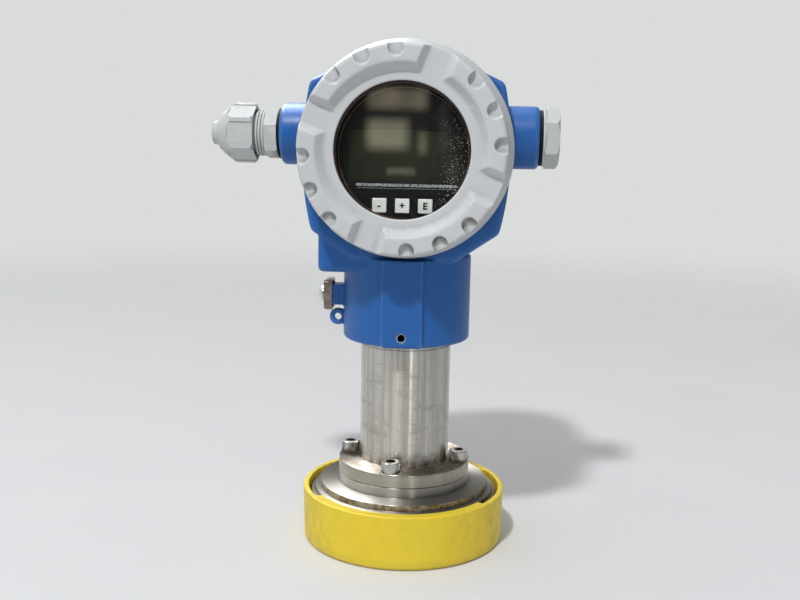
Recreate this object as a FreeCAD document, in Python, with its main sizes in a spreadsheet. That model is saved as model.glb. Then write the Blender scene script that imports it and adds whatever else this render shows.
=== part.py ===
import FreeCAD, Part
import math
import os
import re

import Sketcher
from FreeCAD import Placement, Rotation, Vector

# Pressure transmitter standing in its protective cap, in millimetres.
# The origin is the centre of the cap's underside, +Z is up and the display faces -Y.

SIZES = [
    # protective cap
    ("cap_draft", 0.6, "how far the wall leans out"),
    ("cap_room", 0.9, "room between the flange and the cap's wall"),
    ("cap_h", 29.6, "height"),
    ("cap_wall", 2.9, "wall"),
    ("cap_floor", 3.0, "floor"),
    ("cap_edge", 2.2, "rounding of the lower edge"),
    ("lip_reach", 3.6, "how far a lip reaches in from the wall"),
    ("lip_thick", 2.4, "lip thickness"),
    ("lip_arc", 116.0, "angle of one lip"),
    ("lip_root", 1.0, "how far a lip is rooted in the wall"),
    ("cap_fit", 0.2, "room between the cap's lips and the flange"),
    # process flange and cell
    ("flange_step", 5.2, "flange outside the raised disc"),
    ("flange_t", 18.0, "process flange thickness"),
    ("nose_d", 65.0, "sealing nose"),
    ("disc_step", 10.35, "raised disc outside the bolted joint"),
    ("disc_t", 5.7, "raised disc height"),
    ("joint_edge", 0.25, "bolted joint outside the screw heads"),
    ("lower_joint_t", 5.6, "lower half of the joint"),
    ("upper_joint_t", 7.4, "upper half of the joint"),
    ("turned_edge", 0.7, "chamfer on turned edges"),
    ("cell_d", 34.0, "ceramic measuring cell"),
    ("cell_t", 12.0, "ceramic measuring cell thickness"),
    ("cell_port_d", 24.0, "opening from the process to the cell"),
    ("cell_seal_d", 2.6, "section of the cell's seal"),
    ("cell_fit", 0.3, "room round the cell"),
    ("board_d", 30.0, "sensor board"),
    ("board_t", 1.6, "sensor board thickness"),
    ("diaphragm_d", 50.0, "process diaphragm"),
    ("diaphragm_t", 0.6, "process diaphragm thickness"),
    ("diaphragm_fit", 0.1, "room round the diaphragm"),
    # neck
    ("tube_d", 49.6, "neck tube"),
    ("tube_wall", 3.3, "neck tube wall"),
    ("tube_len", 68.3, "neck tube above the joint"),
    ("spigot_step", 0.5, "shoulder that the housing sits on"),
    ("spigot_h", 25.0, "spigot length"),
    ("swivel_fit", 0.08, "running clearance of the spigot"),
    ("swivel_lift", 0.3, "gap under the collar"),
    ("ring_groove", 3.0, "seal groove width"),
    ("ring_seal_d", 2.4, "section of the neck seal"),
    ("relief_depth", 0.3, "depth of the turned relief under the collar"),
    ("relief_w", 3.0, "width of the turned relief"),
    # flange screws
    ("bolt_gap", 1.6, "gap between the tube and the screw heads"),
    ("bolt_d", 6.0, "screw thread"),
    ("bolt_head_d", 10.0, "screw head"),
    ("bolt_head_h", 6.0, "screw head height"),
    ("bolt_socket", 5.0, "hexagon socket across flats"),
    ("bolt_grip", 15.0, "screw length under the head"),
    ("bolt_turn", -8.5, "first screw, from the front towards +X"),
    ("bolt_fit", 0.1, "room round the screw threads"),
    ("drill_spare", 2.0, "depth of a tapped hole past its screw"),
    # housing
    ("cover_rise", 103.2, "cover axis above the collar's lower end"),
    ("entry_rise", 7.0, "cable entries above the cover axis"),
    ("case_half_d", 30.0, "half depth of the casting between the covers"),
    ("case_crown", 2.5, "top flat outside the threaded necks"),
    ("case_top_w", 20.0, "half width of the top flat"),
    ("case_hip", 34.6, "upper corners above the cover axis"),
    ("case_hip_out", 4.1, "upper corners outside the threaded necks"),
    ("case_knee", 42.5, "lower corners below the cover axis"),
    ("case_knee_out", 3.5, "lower corners outside the threaded necks"),
    ("case_foot_out", 11.8, "bottom flat below the threaded necks"),
    ("case_foot_w", 27.0, "half width of the bottom flat"),
    ("case_side_r", 165.0, "radius of the bowed sides"),
    ("case_corner", 5.0, "rounding of the casting's corners"),
    ("case_edge", 2.2, "rounding of the casting's rims"),
    ("neck_wall", 4.7, "wall of the threaded necks"),
    ("neck_len", 12.8, "length of a threaded neck"),
    ("room_d", 82.0, "bore of both compartments"),
    ("wall_front", 16.0, "front face of the partition"),
    ("wall_rear", 11.0, "rear face of the partition"),
    ("boss_wall", 6.55, "wall of the cable entry bosses"),
    ("boss_len", 19.2, "length of a cable entry boss"),
    ("boss_edge", 1.4, "chamfer of the bosses"),
    ("entry_fit", 0.1, "room round the entry threads"),
    ("collar_wall", 10.42, "wall of the collar"),
    ("collar_edge", 1.2, "chamfer of the collar"),
    ("duct_d", 12.0, "wire duct from the collar to the terminals"),
    ("duct_y", 8.0, "wire duct behind the middle"),
    ("strip_w", 22.0, "flat strip on the collar"),
    ("strip_rise", 1.2, "flat strip outside the collar"),
    ("shoulder_reach", 45.5, "left side of the shoulder block"),
    ("shoulder_rise", 38.5, "underside of the shoulder block above the collar's lower end"),
    ("shoulder_setback", 1.0, "front of the shoulder block behind the case's front face"),
    ("shoulder_rear_setback", 8.0, "rear of the shoulder block inside the case's rear face"),
    ("shoulder_edge", 3.0, "rounding of the shoulder block"),
    # set screw, ground terminal and tag ear
    ("grub_rise", 5.7, "set screw above the collar's lower end"),
    ("grub_d", 4.2, "set screw"),
    ("grub_len", 7.0, "set screw length"),
    ("grub_gap", 0.3, "gap between the set screw and the spigot"),
    ("grub_socket", 2.0, "set screw hexagon"),
    ("grub_fit", 0.05, "room round the set screw"),
    ("ground_rise", 22.9, "ground terminal above the collar's lower end"),
    ("ground_stand", 9.5, "seat of the ground clamp outside the collar"),
    ("ground_pad_h", 11.4, "ground pad height"),
    ("ground_pad_w", 10.0, "ground pad width"),
    ("ground_root", 8.0, "how far the ground pad is rooted in the collar"),
    ("clamp_h", 16.9, "ground clamp height"),
    ("clamp_w", 9.6, "ground clamp width"),
    ("clamp_leg", 3.2, "ground clamp legs"),
    ("clamp_t", 1.4, "ground clamp sheet"),
    ("pan_d", 8.4, "ground screw head"),
    ("pan_h", 3.2, "ground screw head height"),
    ("pan_thread", 4.0, "ground screw thread"),
    ("pan_len", 8.0, "ground screw length"),
    ("pan_slot", 1.2, "slot width"),
    ("ear_stand", 3.5, "middle of the tag ear outside the collar"),
    ("ear_rise", 10.1, "tag ear above the collar's lower end"),
    ("ear_wall", 2.7, "wall round the tag ear's hole"),
    ("ear_hole", 4.0, "tag ear hole"),
    ("ear_t", 4.0, "tag ear thickness"),
    # covers
    ("cover_wall", 6.2, "cover wall outside its thread"),
    ("cover_flare", 3.4, "rear rim outside the cover wall"),
    ("cover_slope", 9.0, "run of the skirt's slope down to the rear rim"),
    ("cover_rim_t", 3.6, "rear rim thickness"),
    ("cover_spare", 0.2, "room between the threaded neck and the glass ring"),
    ("cover_gap", 0.6, "gap between cover and casting"),
    ("cover_edge", 1.4, "rounding of the cover"),
    ("thread_fit", 0.3, "room round the cover thread"),
    ("window_d", 68.0, "window"),
    ("dish_land", 4.9, "flat land round the window"),
    ("dish_slope", 4.1, "run of the conical recess"),
    ("dish_depth", 4.2, "depth of the conical recess"),
    ("glass_seat_t", 1.6, "lip in front of the glass"),
    ("glass_seal_t", 1.0, "glass seal thickness"),
    ("glass_seal_show", 0.8, "edge of the seal that shows in the window"),
    ("glass_lap", 6.2, "glass edge behind the window's lip"),
    ("glass_t", 4.4, "sight glass thickness"),
    ("glass_fit", 0.2, "room round the glass"),
    ("ring_t", 2.2, "glass retaining ring thickness"),
    ("ring_lap", 2.0, "glass retaining ring outside the window"),
    ("groove_half_w", 5.4, "half width of a wrench groove's floor"),
    ("groove_slope", 3.6, "run of a wrench groove's sloping sides"),
    ("scallop_w", 8.4, "scallop width"),
    ("scallop_reach", 7.2, "how far a scallop reaches in from the rim"),
    ("scallop_depth", 3.0, "scallop depth"),
    ("scallop_ease", 0.1, "how much flatter than a half circle a scallop ends"),
    ("scallop_middle", 45.0, "middle scallop from a wrench groove"),
    ("scallop_pitch", 20.0, "angle between scallops"),
    ("cover_turn", 69.0, "where the first wrench groove has stopped"),
    ("cover_seal_d", 2.6, "section of the cover seal"),
    ("cover_seal_fit", 0.2, "room round the cover seal"),
    # electronics
    ("module_room", 2.0, "room round the modules"),
    ("module_fit", 0.3, "seat of the modules"),
    ("module_edge", 1.0, "chamfer of the modules"),
    ("display_gap", 1.6, "gap between the display face and the glass ring"),
    ("display_t", 11.0, "display module thickness"),
    ("lcd_w", 55.8, "display window width"),
    ("lcd_h", 26.2, "display window height"),
    ("lcd_drop", 2.8, "display window below the cover axis"),
    ("lcd_t", 2.0, "display glass"),
    ("lcd_sink", 0.5, "display glass below the face"),
    ("key_w", 7.7, "key width"),
    ("key_pitch", 11.6, "key pitch"),
    ("key_drop", 27.7, "keys below the cover axis"),
    ("key_rise", 1.0, "keys above the face"),
    ("key_len", 4.0, "key length"),
    ("key_travel", 0.8, "key travel"),
    ("key_fit", 0.25, "room round a key"),
    ("key_edge", 0.7, "rounding of the keys"),
    ("block_w", 52.0, "terminal block width"),
    ("block_h", 22.0, "terminal block height"),
    ("block_t", 16.0, "terminal block depth"),
    ("block_drop", 10.0, "terminal block below the cover axis"),
    ("terminal_pitch", 12.0, "terminal pitch"),
    ("terminal_d", 7.0, "terminal screw head"),
    ("terminal_h", 2.0, "terminal screw head height"),
    ("terminal_sink", 4.0, "depth of the terminal wells"),
    ("terminal_fit", 0.25, "room round a terminal screw"),
    # cable gland and blanking plug
    ("gasket_t", 1.8, "gland and plug gaskets"),
    ("gasket_fit", 0.2, "room round the entry thread in a gasket"),
    ("thread_d", 20.0, "entry thread"),
    ("thread_len", 11.0, "entry thread length"),
    ("gland_af", 24.0, "gland body across flats"),
    ("gland_hex_t", 7.0, "gland body hexagon"),
    ("gland_gasket_d", 27.0, "gland gasket"),
    ("gland_wall", 1.8, "wall round the sealing bush"),
    ("gland_neck_len", 12.2, "length of the outer thread"),
    ("gland_bore", 12.4, "cable way through the gland"),
    ("gland_cup_d", 16.0, "seat of the sealing bush"),
    ("gland_show", 4.1, "thread that shows under the nut"),
    ("nut_wall", 3.9, "dome nut wall"),
    ("nut_hex_t", 16.0, "dome nut hexagon"),
    ("nut_dome", 9.6, "dome height"),
    ("nut_dome_step", 0.8, "dome inside the nut's flats"),
    ("nut_mouth_d", 13.0, "dome nut mouth"),
    ("nut_fit", 0.3, "room round the gland thread"),
    ("nut_chamfer", 1.3, "corner chamfer of hexagons"),
    ("bush_fit", 0.3, "room round the sealing bush"),
    ("bush_bore", 8.0, "bore of the sealing bush"),
    ("bush_len", 12.9, "length of the sealing bush"),
    ("bush_cone", 2.0, "tapered end of the sealing bush"),
    ("nut_room", 11.6, "depth of the nut's thread"),
    ("nut_cone", 5.5, "taper inside the nut"),
    ("plug_af", 28.0, "blanking plug across flats"),
    ("plug_hex_t", 7.2, "blanking plug hexagon"),
    ("plug_flange_d", 30.0, "blanking plug flange"),
    ("plug_flange_t", 1.5, "blanking plug flange thickness"),
    ("plug_gasket_step", 0.3, "plug gasket inside the plug's flange"),
]

# Sizes that follow from others, so that what fits together changes together.
RELATED = {
    "spigot_d": "tube_d - 2 * spigot_step",
    "tube_bore": "tube_d - 2 * tube_wall",
    "bolt_circle_r": "tube_d / 2 + bolt_gap + bolt_head_d / 2",
    "joint_d": "2 * (bolt_circle_r + bolt_head_d / 2 + joint_edge)",
    "disc_d": "joint_d + 2 * disc_step",
    "flange_d": "disc_d + 2 * flange_step",
    "cap_base_d": "flange_d + 2 * (cap_room + cap_wall)",
    "cap_rim_d": "cap_base_d + 2 * cap_draft",
    "tube_top": "cap_h - lip_thick - cap_fit + disc_t + lower_joint_t + upper_joint_t + tube_len",
    "collar_d": "spigot_d + 2 * (swivel_fit + collar_wall)",
    "strip_reach": "collar_d / 2 + strip_rise",
    "ground_reach": "collar_d / 2 + ground_stand",
    "ear_x": "collar_d / 2 + ear_stand",
    "ear_r": "ear_hole / 2 + ear_wall",
    "grub_z": "tube_top + swivel_lift + grub_rise",
    "ear_z": "tube_top + swivel_lift + ear_rise",
    "ground_z": "tube_top + swivel_lift + ground_rise",
    "shoulder_z": "tube_top + swivel_lift + shoulder_rise",
    "shoulder_front": "case_half_d - shoulder_setback",
    "shoulder_rear": "case_half_d - shoulder_rear_setback",
    "cover_z": "tube_top + swivel_lift + cover_rise",
    "entry_z": "cover_z + entry_rise",
    "neck_d": "room_d + 2 * neck_wall",
    "neck_reach": "case_half_d + neck_len",
    "case_top": "neck_d / 2 + case_crown",
    "case_hip_w": "neck_d / 2 + case_hip_out",
    "case_knee_w": "neck_d / 2 + case_knee_out",
    "case_foot": "neck_d / 2 + case_foot_out",
    "entry_d": "thread_d + 2 * entry_fit",
    "boss_d": "entry_d + 2 * boss_wall",
    "boss_reach": "case_hip_w + boss_len",
    "cover_d": "neck_d + 2 * (thread_fit + cover_wall)",
    "cover_rim_d": "cover_d + 2 * cover_flare",
    "cover_front": "neck_reach + cover_gap + cover_spare + ring_t + glass_t + glass_seal_t"
                   " + glass_seat_t + dish_depth",
    "dish_floor_d": "window_d + 2 * dish_land",
    "dish_rim_d": "dish_floor_d + 2 * dish_slope",
    "glass_d": "window_d + 2 * glass_lap",
    "ring_bore": "window_d + 2 * ring_lap",
    "module_d": "room_d - 2 * module_room",
    "display_front": "cover_front - dish_depth - glass_seat_t - glass_seal_t - glass_t"
                     " - ring_t - display_gap",
    "gasket_bore": "thread_d + 2 * gasket_fit",
    "gland_neck_d": "gland_cup_d + 2 * gland_wall",
    "nut_af": "gland_neck_d + 2 * (nut_fit + nut_wall)",
    "nut_dome_d": "nut_af - 2 * nut_dome_step",
    "plug_gasket_d": "plug_flange_d - 2 * plug_gasket_step",
}

doc = FreeCAD.newDocument("pressure_transmitter")
sheet = doc.addObject("Spreadsheet::Sheet", "dims")
for row, (name, value, note) in enumerate(SIZES, start=1):
    sheet.set("A%d" % row, name)
    sheet.set("B%d" % row, str(value))
    sheet.set("C%d" % row, note)
    sheet.setAlias("B%d" % row, name)
doc.recompute()

NAMES = {name for name, value, note in SIZES}
FULL_TURN = 360.0
BOLTS = 4
WRENCH_GROOVES = 4
NEAR = 1e-4
PARTS = []


def bound(text):
    """An expression in which every named size is read from the sheet, related ones through their rule."""
    def read(word):
        if word[0] in RELATED:
            return "(%s)" % bound(RELATED[word[0]])
        return "dims." + word[0] if word[0] in NAMES else word[0]
    return re.sub(r"[a-z]\w*", read, text)


def size(text):
    """The number that an expression of named sizes gives now."""
    return float(sheet.evalExpression(bound(text)))


def keep(piece, label):
    """Name a finished piece and put it on the list that is written out."""
    piece.Label = label
    PARTS.append(piece)
    return piece


def place(piece, x="0", y="0", z="0", turn=Rotation()):
    """Put a piece where named sizes say, turned as given."""
    piece.Placement = Placement(Vector(size(x), size(y), size(z)), turn)
    for axis, text in (("x", x), ("y", y), ("z", z)):
        piece.setExpression("Placement.Base." + axis, bound(text))
    return piece


FRONT = Rotation(Vector(1, 0, 0), 90)
REAR = Rotation(Vector(0, 0, 1), 180).multiply(FRONT)
LEFT = Rotation(Vector(0, 1, 0), -90)
RIGHT = Rotation(Vector(0, 1, 0), 90)


def new_body(name):
    return doc.addObject("PartDesign::Body", name)


def new_sketch(body, role, offset="0", turn=0.0):
    """A sketch on one of the body's own planes, moved along the plane's normal."""
    sketch = body.newObject("Sketcher::SketchObject", body.Name + "_sketch")
    plane = [feature for feature in body.Origin.OriginFeatures if feature.Role == role][0]
    sketch.AttachmentSupport = [(plane, "")]
    sketch.MapMode = "FlatFace"
    sketch.AttachmentOffset = Placement(Vector(0, 0, size(offset)), Rotation(Vector(0, 0, 1), turn))
    sketch.setExpression("AttachmentOffset.Base.z", bound(offset))
    return sketch


def fix_point(sketch, geometry, end, x, y):
    """Hold one point of a sketch at two expressions."""
    for kind, text in (("DistanceX", x), ("DistanceY", y)):
        if text == "0":
            axis = -2 if kind == "DistanceX" else -1
            sketch.addConstraint(Sketcher.Constraint("PointOnObject", geometry, end, axis))
            continue
        index = sketch.addConstraint(Sketcher.Constraint(kind, -1, 1, geometry, end, size(text)))
        sketch.setExpression("Constraints[%d]" % index, bound(text))


def arc_between(start, end, radius, side):
    """An arc between two points, bulging to the right of the way for side +1.

    Arcs run anticlockwise, so one that bulges to the left is drawn from its far end."""
    chord = end - start
    half = chord.Length / 2
    inset = math.sqrt(max(radius * radius - half * half, 0.0))
    across = Vector(chord.y, -chord.x, 0).normalize()
    centre = (start + end) * 0.5 - across * (inset * side)
    first, last = (start, end) if side > 0 else (end, start)
    angles = [math.atan2(spot.y - centre.y, spot.x - centre.x) for spot in (first, last)]
    return Part.ArcOfCircle(Part.Circle(centre, Vector(0, 0, 1), radius), *angles)


def outline(sketch, points, arcs=None):
    """A closed outline whose corners are pairs of expressions.

    arcs maps a corner's index to (radius expression, side) for the stretch that follows it."""
    arcs = arcs or {}
    spots = [Vector(size(x), size(y), 0) for x, y in points]
    first = sketch.GeometryCount
    ends = []
    for i, spot in enumerate(spots):
        after = spots[(i + 1) % len(spots)]
        radius, side = arcs.get(i, ("0", 1))
        curve = arc_between(spot, after, size(radius), side) if i in arcs else Part.LineSegment(spot, after)
        sketch.addGeometry(curve)
        ends.append((1, 2) if side > 0 else (2, 1))
    for i, (x, y) in enumerate(points):
        after = (i + 1) % len(points)
        joined = Sketcher.Constraint("Coincident", first + i, ends[i][1], first + after, ends[after][0])
        sketch.addConstraint(joined)
        fix_point(sketch, first + i, ends[i][0], x, y)
        if i in arcs:
            index = sketch.addConstraint(Sketcher.Constraint("Radius", first + i, size(arcs[i][0])))
            sketch.setExpression("Constraints[%d]" % index, bound(arcs[i][0]))
    return sketch


def circle(sketch, x, y, diameter):
    """A circle held by its centre and diameter."""
    centre = Vector(size(x), size(y), 0)
    index = sketch.addGeometry(Part.Circle(centre, Vector(0, 0, 1), size(diameter) / 2))
    fix_point(sketch, index, 3, x, y)
    held = sketch.addConstraint(Sketcher.Constraint("Diameter", index, size(diameter)))
    sketch.setExpression("Constraints[%d]" % held, bound(diameter))
    return sketch


def rectangle(sketch, x0, x1, y0, y1):
    return outline(sketch, [(x0, y0), (x1, y0), (x1, y1), (x0, y1)])


def hexagon(sketch, across_flats):
    """A hexagon with two corners on the sketch's X axis."""
    half = "(%s) / 2" % across_flats
    corner = "(%s) / sqrt(3)" % across_flats
    side = "(%s) / sqrt(12)" % across_flats
    corners = [(corner, "0"), (side, half), ("-" + side, half)]
    corners += [("-" + corner, "0"), ("-" + side, "-" + half), (side, "-" + half)]
    return outline(sketch, corners)


def feature(body, kind, sketch, settings, bindings=None):
    """A sketch-based feature, which must change the solid."""
    before = body.Shape.Volume if body.Shape.Solids else 0.0
    made = body.newObject("PartDesign::" + kind, body.Name + "_" + kind.lower())
    made.Profile = sketch
    for name, value in settings.items():
        setattr(made, name, value)
    for name, text in (bindings or {}).items():
        made.setExpression(name, bound(text))
    doc.recompute()
    if abs(body.Shape.Volume - before) < NEAR:
        raise RuntimeError("%s changes nothing on %s" % (kind, body.Name))
    return made


def pad(body, sketch, length, **settings):
    return feature(body, "Pad", sketch, dict(settings, Length=size(length)), {"Length": length})


def pocket(body, sketch, length, **settings):
    return feature(body, "Pocket", sketch, dict(settings, Length=size(length)), {"Length": length})


def turn_profile(body, points, kind="Revolution", arcs=None):
    """Turn a profile of (radius, height) pairs about the body's Z axis."""
    sketch = outline(new_sketch(body, "XZ_Plane"), points, arcs)
    return feature(body, kind, sketch, {"ReferenceAxis": (sketch, ["V_Axis"]), "Angle": FULL_TURN})


def ring(name, inner, outer, low, high):
    """A plain turned ring."""
    body = new_body(name)
    turn_profile(body, [(inner, low), (outer, low), (outer, high), (inner, high)])
    return keep(body, name)


def seal_ring(name, middle, section, height):
    """A round-section rubber ring about Z."""
    body = new_body(name)
    sketch = circle(new_sketch(body, "XZ_Plane"), middle, height, section)
    feature(body, "Revolution", sketch, {"ReferenceAxis": (sketch, ["V_Axis"]), "Angle": FULL_TURN})
    return keep(body, name)


def polar(body, originals, count):
    """Repeat features evenly about the body's Z axis."""
    pattern = body.newObject("PartDesign::PolarPattern", body.Name + "_pattern")
    pattern.Originals = originals
    pattern.Axis = ([part for part in body.Origin.OriginFeatures if part.Role == "Z_Axis"][0], [""])
    pattern.Angle = FULL_TURN
    pattern.Occurrences = count
    body.Tip = pattern
    doc.recompute()
    return pattern


def dress(body, kind, amount, wanted):
    """Round or chamfer the edges of the body for which wanted(edge) is true."""
    base = body.Tip
    names = ["Edge%d" % i for i, edge in enumerate(base.Shape.Edges, start=1) if wanted(edge)]
    if not names:
        raise RuntimeError("no edge to dress on " + body.Name)
    made = body.newObject("PartDesign::" + kind, body.Name + "_" + kind.lower())
    made.Base = (base, names)
    held = "Radius" if kind == "Fillet" else "Size"
    setattr(made, held, size(amount))
    made.setExpression(held, bound(amount))
    doc.recompute()
    if "Invalid" in made.State or made.Shape.isNull():
        raise RuntimeError("%s fails on %s" % (kind, body.Name))
    return made


def chamfer_hexagon(body, across_flats, low, high):
    """Turn the corners off one end of a hexagon; low is where the cut leaves the corner."""
    corner = "(%s) / sqrt(3) + nut_chamfer" % across_flats
    turn_profile(body, [("(%s) / 2" % across_flats, high), (corner, low), (corner, high)], "Groove")


# Heights that several pieces share, from the cap's floor up.
NOSE_Z = "cap_floor"
FLANGE_TOP = "(cap_h - lip_thick - cap_fit)"
FLANGE_Z = "(cap_h - lip_thick - cap_fit - flange_t)"
DISC_TOP = "(cap_h - lip_thick - cap_fit + disc_t)"
JOINT_Z = "(cap_h - lip_thick - cap_fit + disc_t + lower_joint_t)"
JOINT_TOP = "(cap_h - lip_thick - cap_fit + disc_t + lower_joint_t + upper_joint_t)"
CELL_Z = "(cap_h - lip_thick - cap_fit + disc_t + lower_joint_t - cell_t)"
COLLAR_Z = "(tube_top + swivel_lift)"


def protective_cap():
    """Moulded cup with two long lips that snap over the flange."""
    body = new_body("protective_cap")
    inner_rim = "cap_rim_d / 2 - cap_wall"
    inner_base = "cap_base_d / 2 - cap_wall"
    cup = [("0", "0"), ("cap_base_d / 2", "0"), ("cap_rim_d / 2", "cap_h")]
    cup += [(inner_rim, "cap_h"), (inner_base, "cap_floor"), ("0", "cap_floor")]
    turn_profile(body, cup)
    lip = new_sketch(body, "YZ_Plane")
    rectangle(lip, inner_rim + " - lip_reach", inner_rim + " + lip_root", "cap_h - lip_thick", "cap_h")
    lips = feature(body, "Revolution", lip, {"ReferenceAxis": (lip, ["V_Axis"]), "Midplane": True},
                   {"Angle": "lip_arc"})
    polar(body, [lips], 2)
    dress(body, "Fillet", "cap_edge", lambda edge: edge.BoundBox.ZMax < NEAR)
    return keep(body, "protective_cap")


def process_flange():
    """Turned steel flange: sealing nose, flange, raised disc and the lower half of the joint."""
    body = new_body("process_flange")
    port = "cell_port_d / 2"
    seat = "cell_d / 2 + cell_fit"
    step = CELL_Z + " - cell_seal_d"
    turn_profile(body, [
        (port, NOSE_Z + " + diaphragm_t"), ("diaphragm_d / 2", NOSE_Z + " + diaphragm_t"),
        ("diaphragm_d / 2", NOSE_Z), ("nose_d / 2", NOSE_Z), ("nose_d / 2", FLANGE_Z),
        ("flange_d / 2 - turned_edge", FLANGE_Z), ("flange_d / 2", FLANGE_Z + " + turned_edge"),
        ("flange_d / 2", FLANGE_TOP + " - turned_edge"), ("flange_d / 2 - turned_edge", FLANGE_TOP),
        ("disc_d / 2", FLANGE_TOP), ("disc_d / 2", DISC_TOP + " - turned_edge"),
        ("disc_d / 2 - turned_edge", DISC_TOP), ("joint_d / 2", DISC_TOP),
        ("joint_d / 2", JOINT_Z), (seat, JOINT_Z), (seat, step), (port, step)])
    holes = new_sketch(body, "XY_Plane", JOINT_Z, size("bolt_turn"))
    holes.setExpression("AttachmentOffset.Rotation.Angle", bound("bolt_turn"))
    circle(holes, "0", "-bolt_circle_r", "bolt_d + 2 * bolt_fit")
    tapped = pocket(body, holes, "bolt_grip + drill_spare - upper_joint_t")
    polar(body, [tapped], BOLTS)
    return keep(body, "process_flange")


def neck():
    """Turned steel tube with the upper half of the joint, and the spigot that the housing turns on."""
    body = new_body("neck")
    groove = "tube_top + spigot_h / 2"
    floor = "spigot_d / 2 - ring_seal_d - swivel_fit"
    turn_profile(body, [
        ("tube_bore / 2", JOINT_Z), ("joint_d / 2", JOINT_Z),
        ("joint_d / 2", JOINT_TOP + " - turned_edge"), ("joint_d / 2 - turned_edge", JOINT_TOP),
        ("tube_d / 2", JOINT_TOP), ("tube_d / 2", "tube_top - relief_w"),
        ("tube_d / 2 - relief_depth", "tube_top - relief_w"), ("tube_d / 2 - relief_depth", "tube_top"),
        ("spigot_d / 2", "tube_top"),
        ("spigot_d / 2", groove + " - ring_groove / 2"), (floor, groove + " - ring_groove / 2"),
        (floor, groove + " + ring_groove / 2"), ("spigot_d / 2", groove + " + ring_groove / 2"),
        ("spigot_d / 2", "tube_top + spigot_h - turned_edge"),
        ("spigot_d / 2 - turned_edge", "tube_top + spigot_h"), ("tube_bore / 2", "tube_top + spigot_h")])
    holes = new_sketch(body, "XY_Plane", JOINT_TOP, size("bolt_turn"))
    holes.setExpression("AttachmentOffset.Rotation.Angle", bound("bolt_turn"))
    circle(holes, "0", "-bolt_circle_r", "bolt_d + 4 * bolt_fit")
    drilled = pocket(body, holes, "upper_joint_t")
    polar(body, [drilled], BOLTS)
    return keep(body, "neck")


def cell_pieces():
    """Measuring cell on its seal in the flange, the board on the cell, the diaphragm below."""
    cell = new_body("measuring_cell")
    turn_profile(cell, [
        ("0", CELL_Z), ("cell_d / 2", CELL_Z), ("cell_d / 2", JOINT_Z + " - turned_edge"),
        ("cell_d / 2 - turned_edge", JOINT_Z), ("0", JOINT_Z)])
    keep(cell, "measuring_cell")
    seal_ring("cell_seal", "cell_d / 2 - cell_seal_d / 2", "cell_seal_d", CELL_Z + " - cell_seal_d / 2")
    board = new_body("sensor_board")
    turn_profile(board, [("0", JOINT_Z), ("board_d / 2", JOINT_Z),
                         ("board_d / 2", JOINT_Z + " + board_t"), ("0", JOINT_Z + " + board_t")])
    keep(board, "sensor_board")
    film = new_body("process_diaphragm")
    edge = "diaphragm_d / 2 - diaphragm_fit"
    turn_profile(film, [("0", NOSE_Z), (edge, NOSE_Z), (edge, NOSE_Z + " + diaphragm_t"),
                        ("0", NOSE_Z + " + diaphragm_t")])
    keep(film, "process_diaphragm")
    seal_ring("neck_seal", "spigot_d / 2 - ring_seal_d / 2", "ring_seal_d", "tube_top + spigot_h / 2")


def flange_screws():
    """Four socket-head cap screws through the joint."""
    screws = []
    for count in range(BOLTS):
        body = new_body("flange_screw_%d" % count)
        head = "bolt_head_d / 2"
        turn_profile(body, [
            ("0", "-bolt_grip"), ("bolt_d / 2 - turned_edge", "-bolt_grip"),
            ("bolt_d / 2", "turned_edge - bolt_grip"), ("bolt_d / 2", "0"), (head, "0"),
            (head, "bolt_head_h - turned_edge"), (head + " - turned_edge", "bolt_head_h"),
            ("0", "bolt_head_h")])
        pocket(body, hexagon(new_sketch(body, "XY_Plane", "bolt_head_h"), "bolt_socket"), "bolt_socket / 2")
        angle = "(bolt_turn + %f)" % (FULL_TURN * count / BOLTS)
        turn = Rotation(Vector(0, 0, 1), size("bolt_turn"))
        screws.append(place(body, "bolt_circle_r * sin(%s * 1 deg)" % angle,
                            "-bolt_circle_r * cos(%s * 1 deg)" % angle, JOINT_TOP, turn))
    group = doc.addObject("Part::Compound", "flange_screws")
    group.Links = screws
    return keep(group, "flange_screws")


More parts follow.
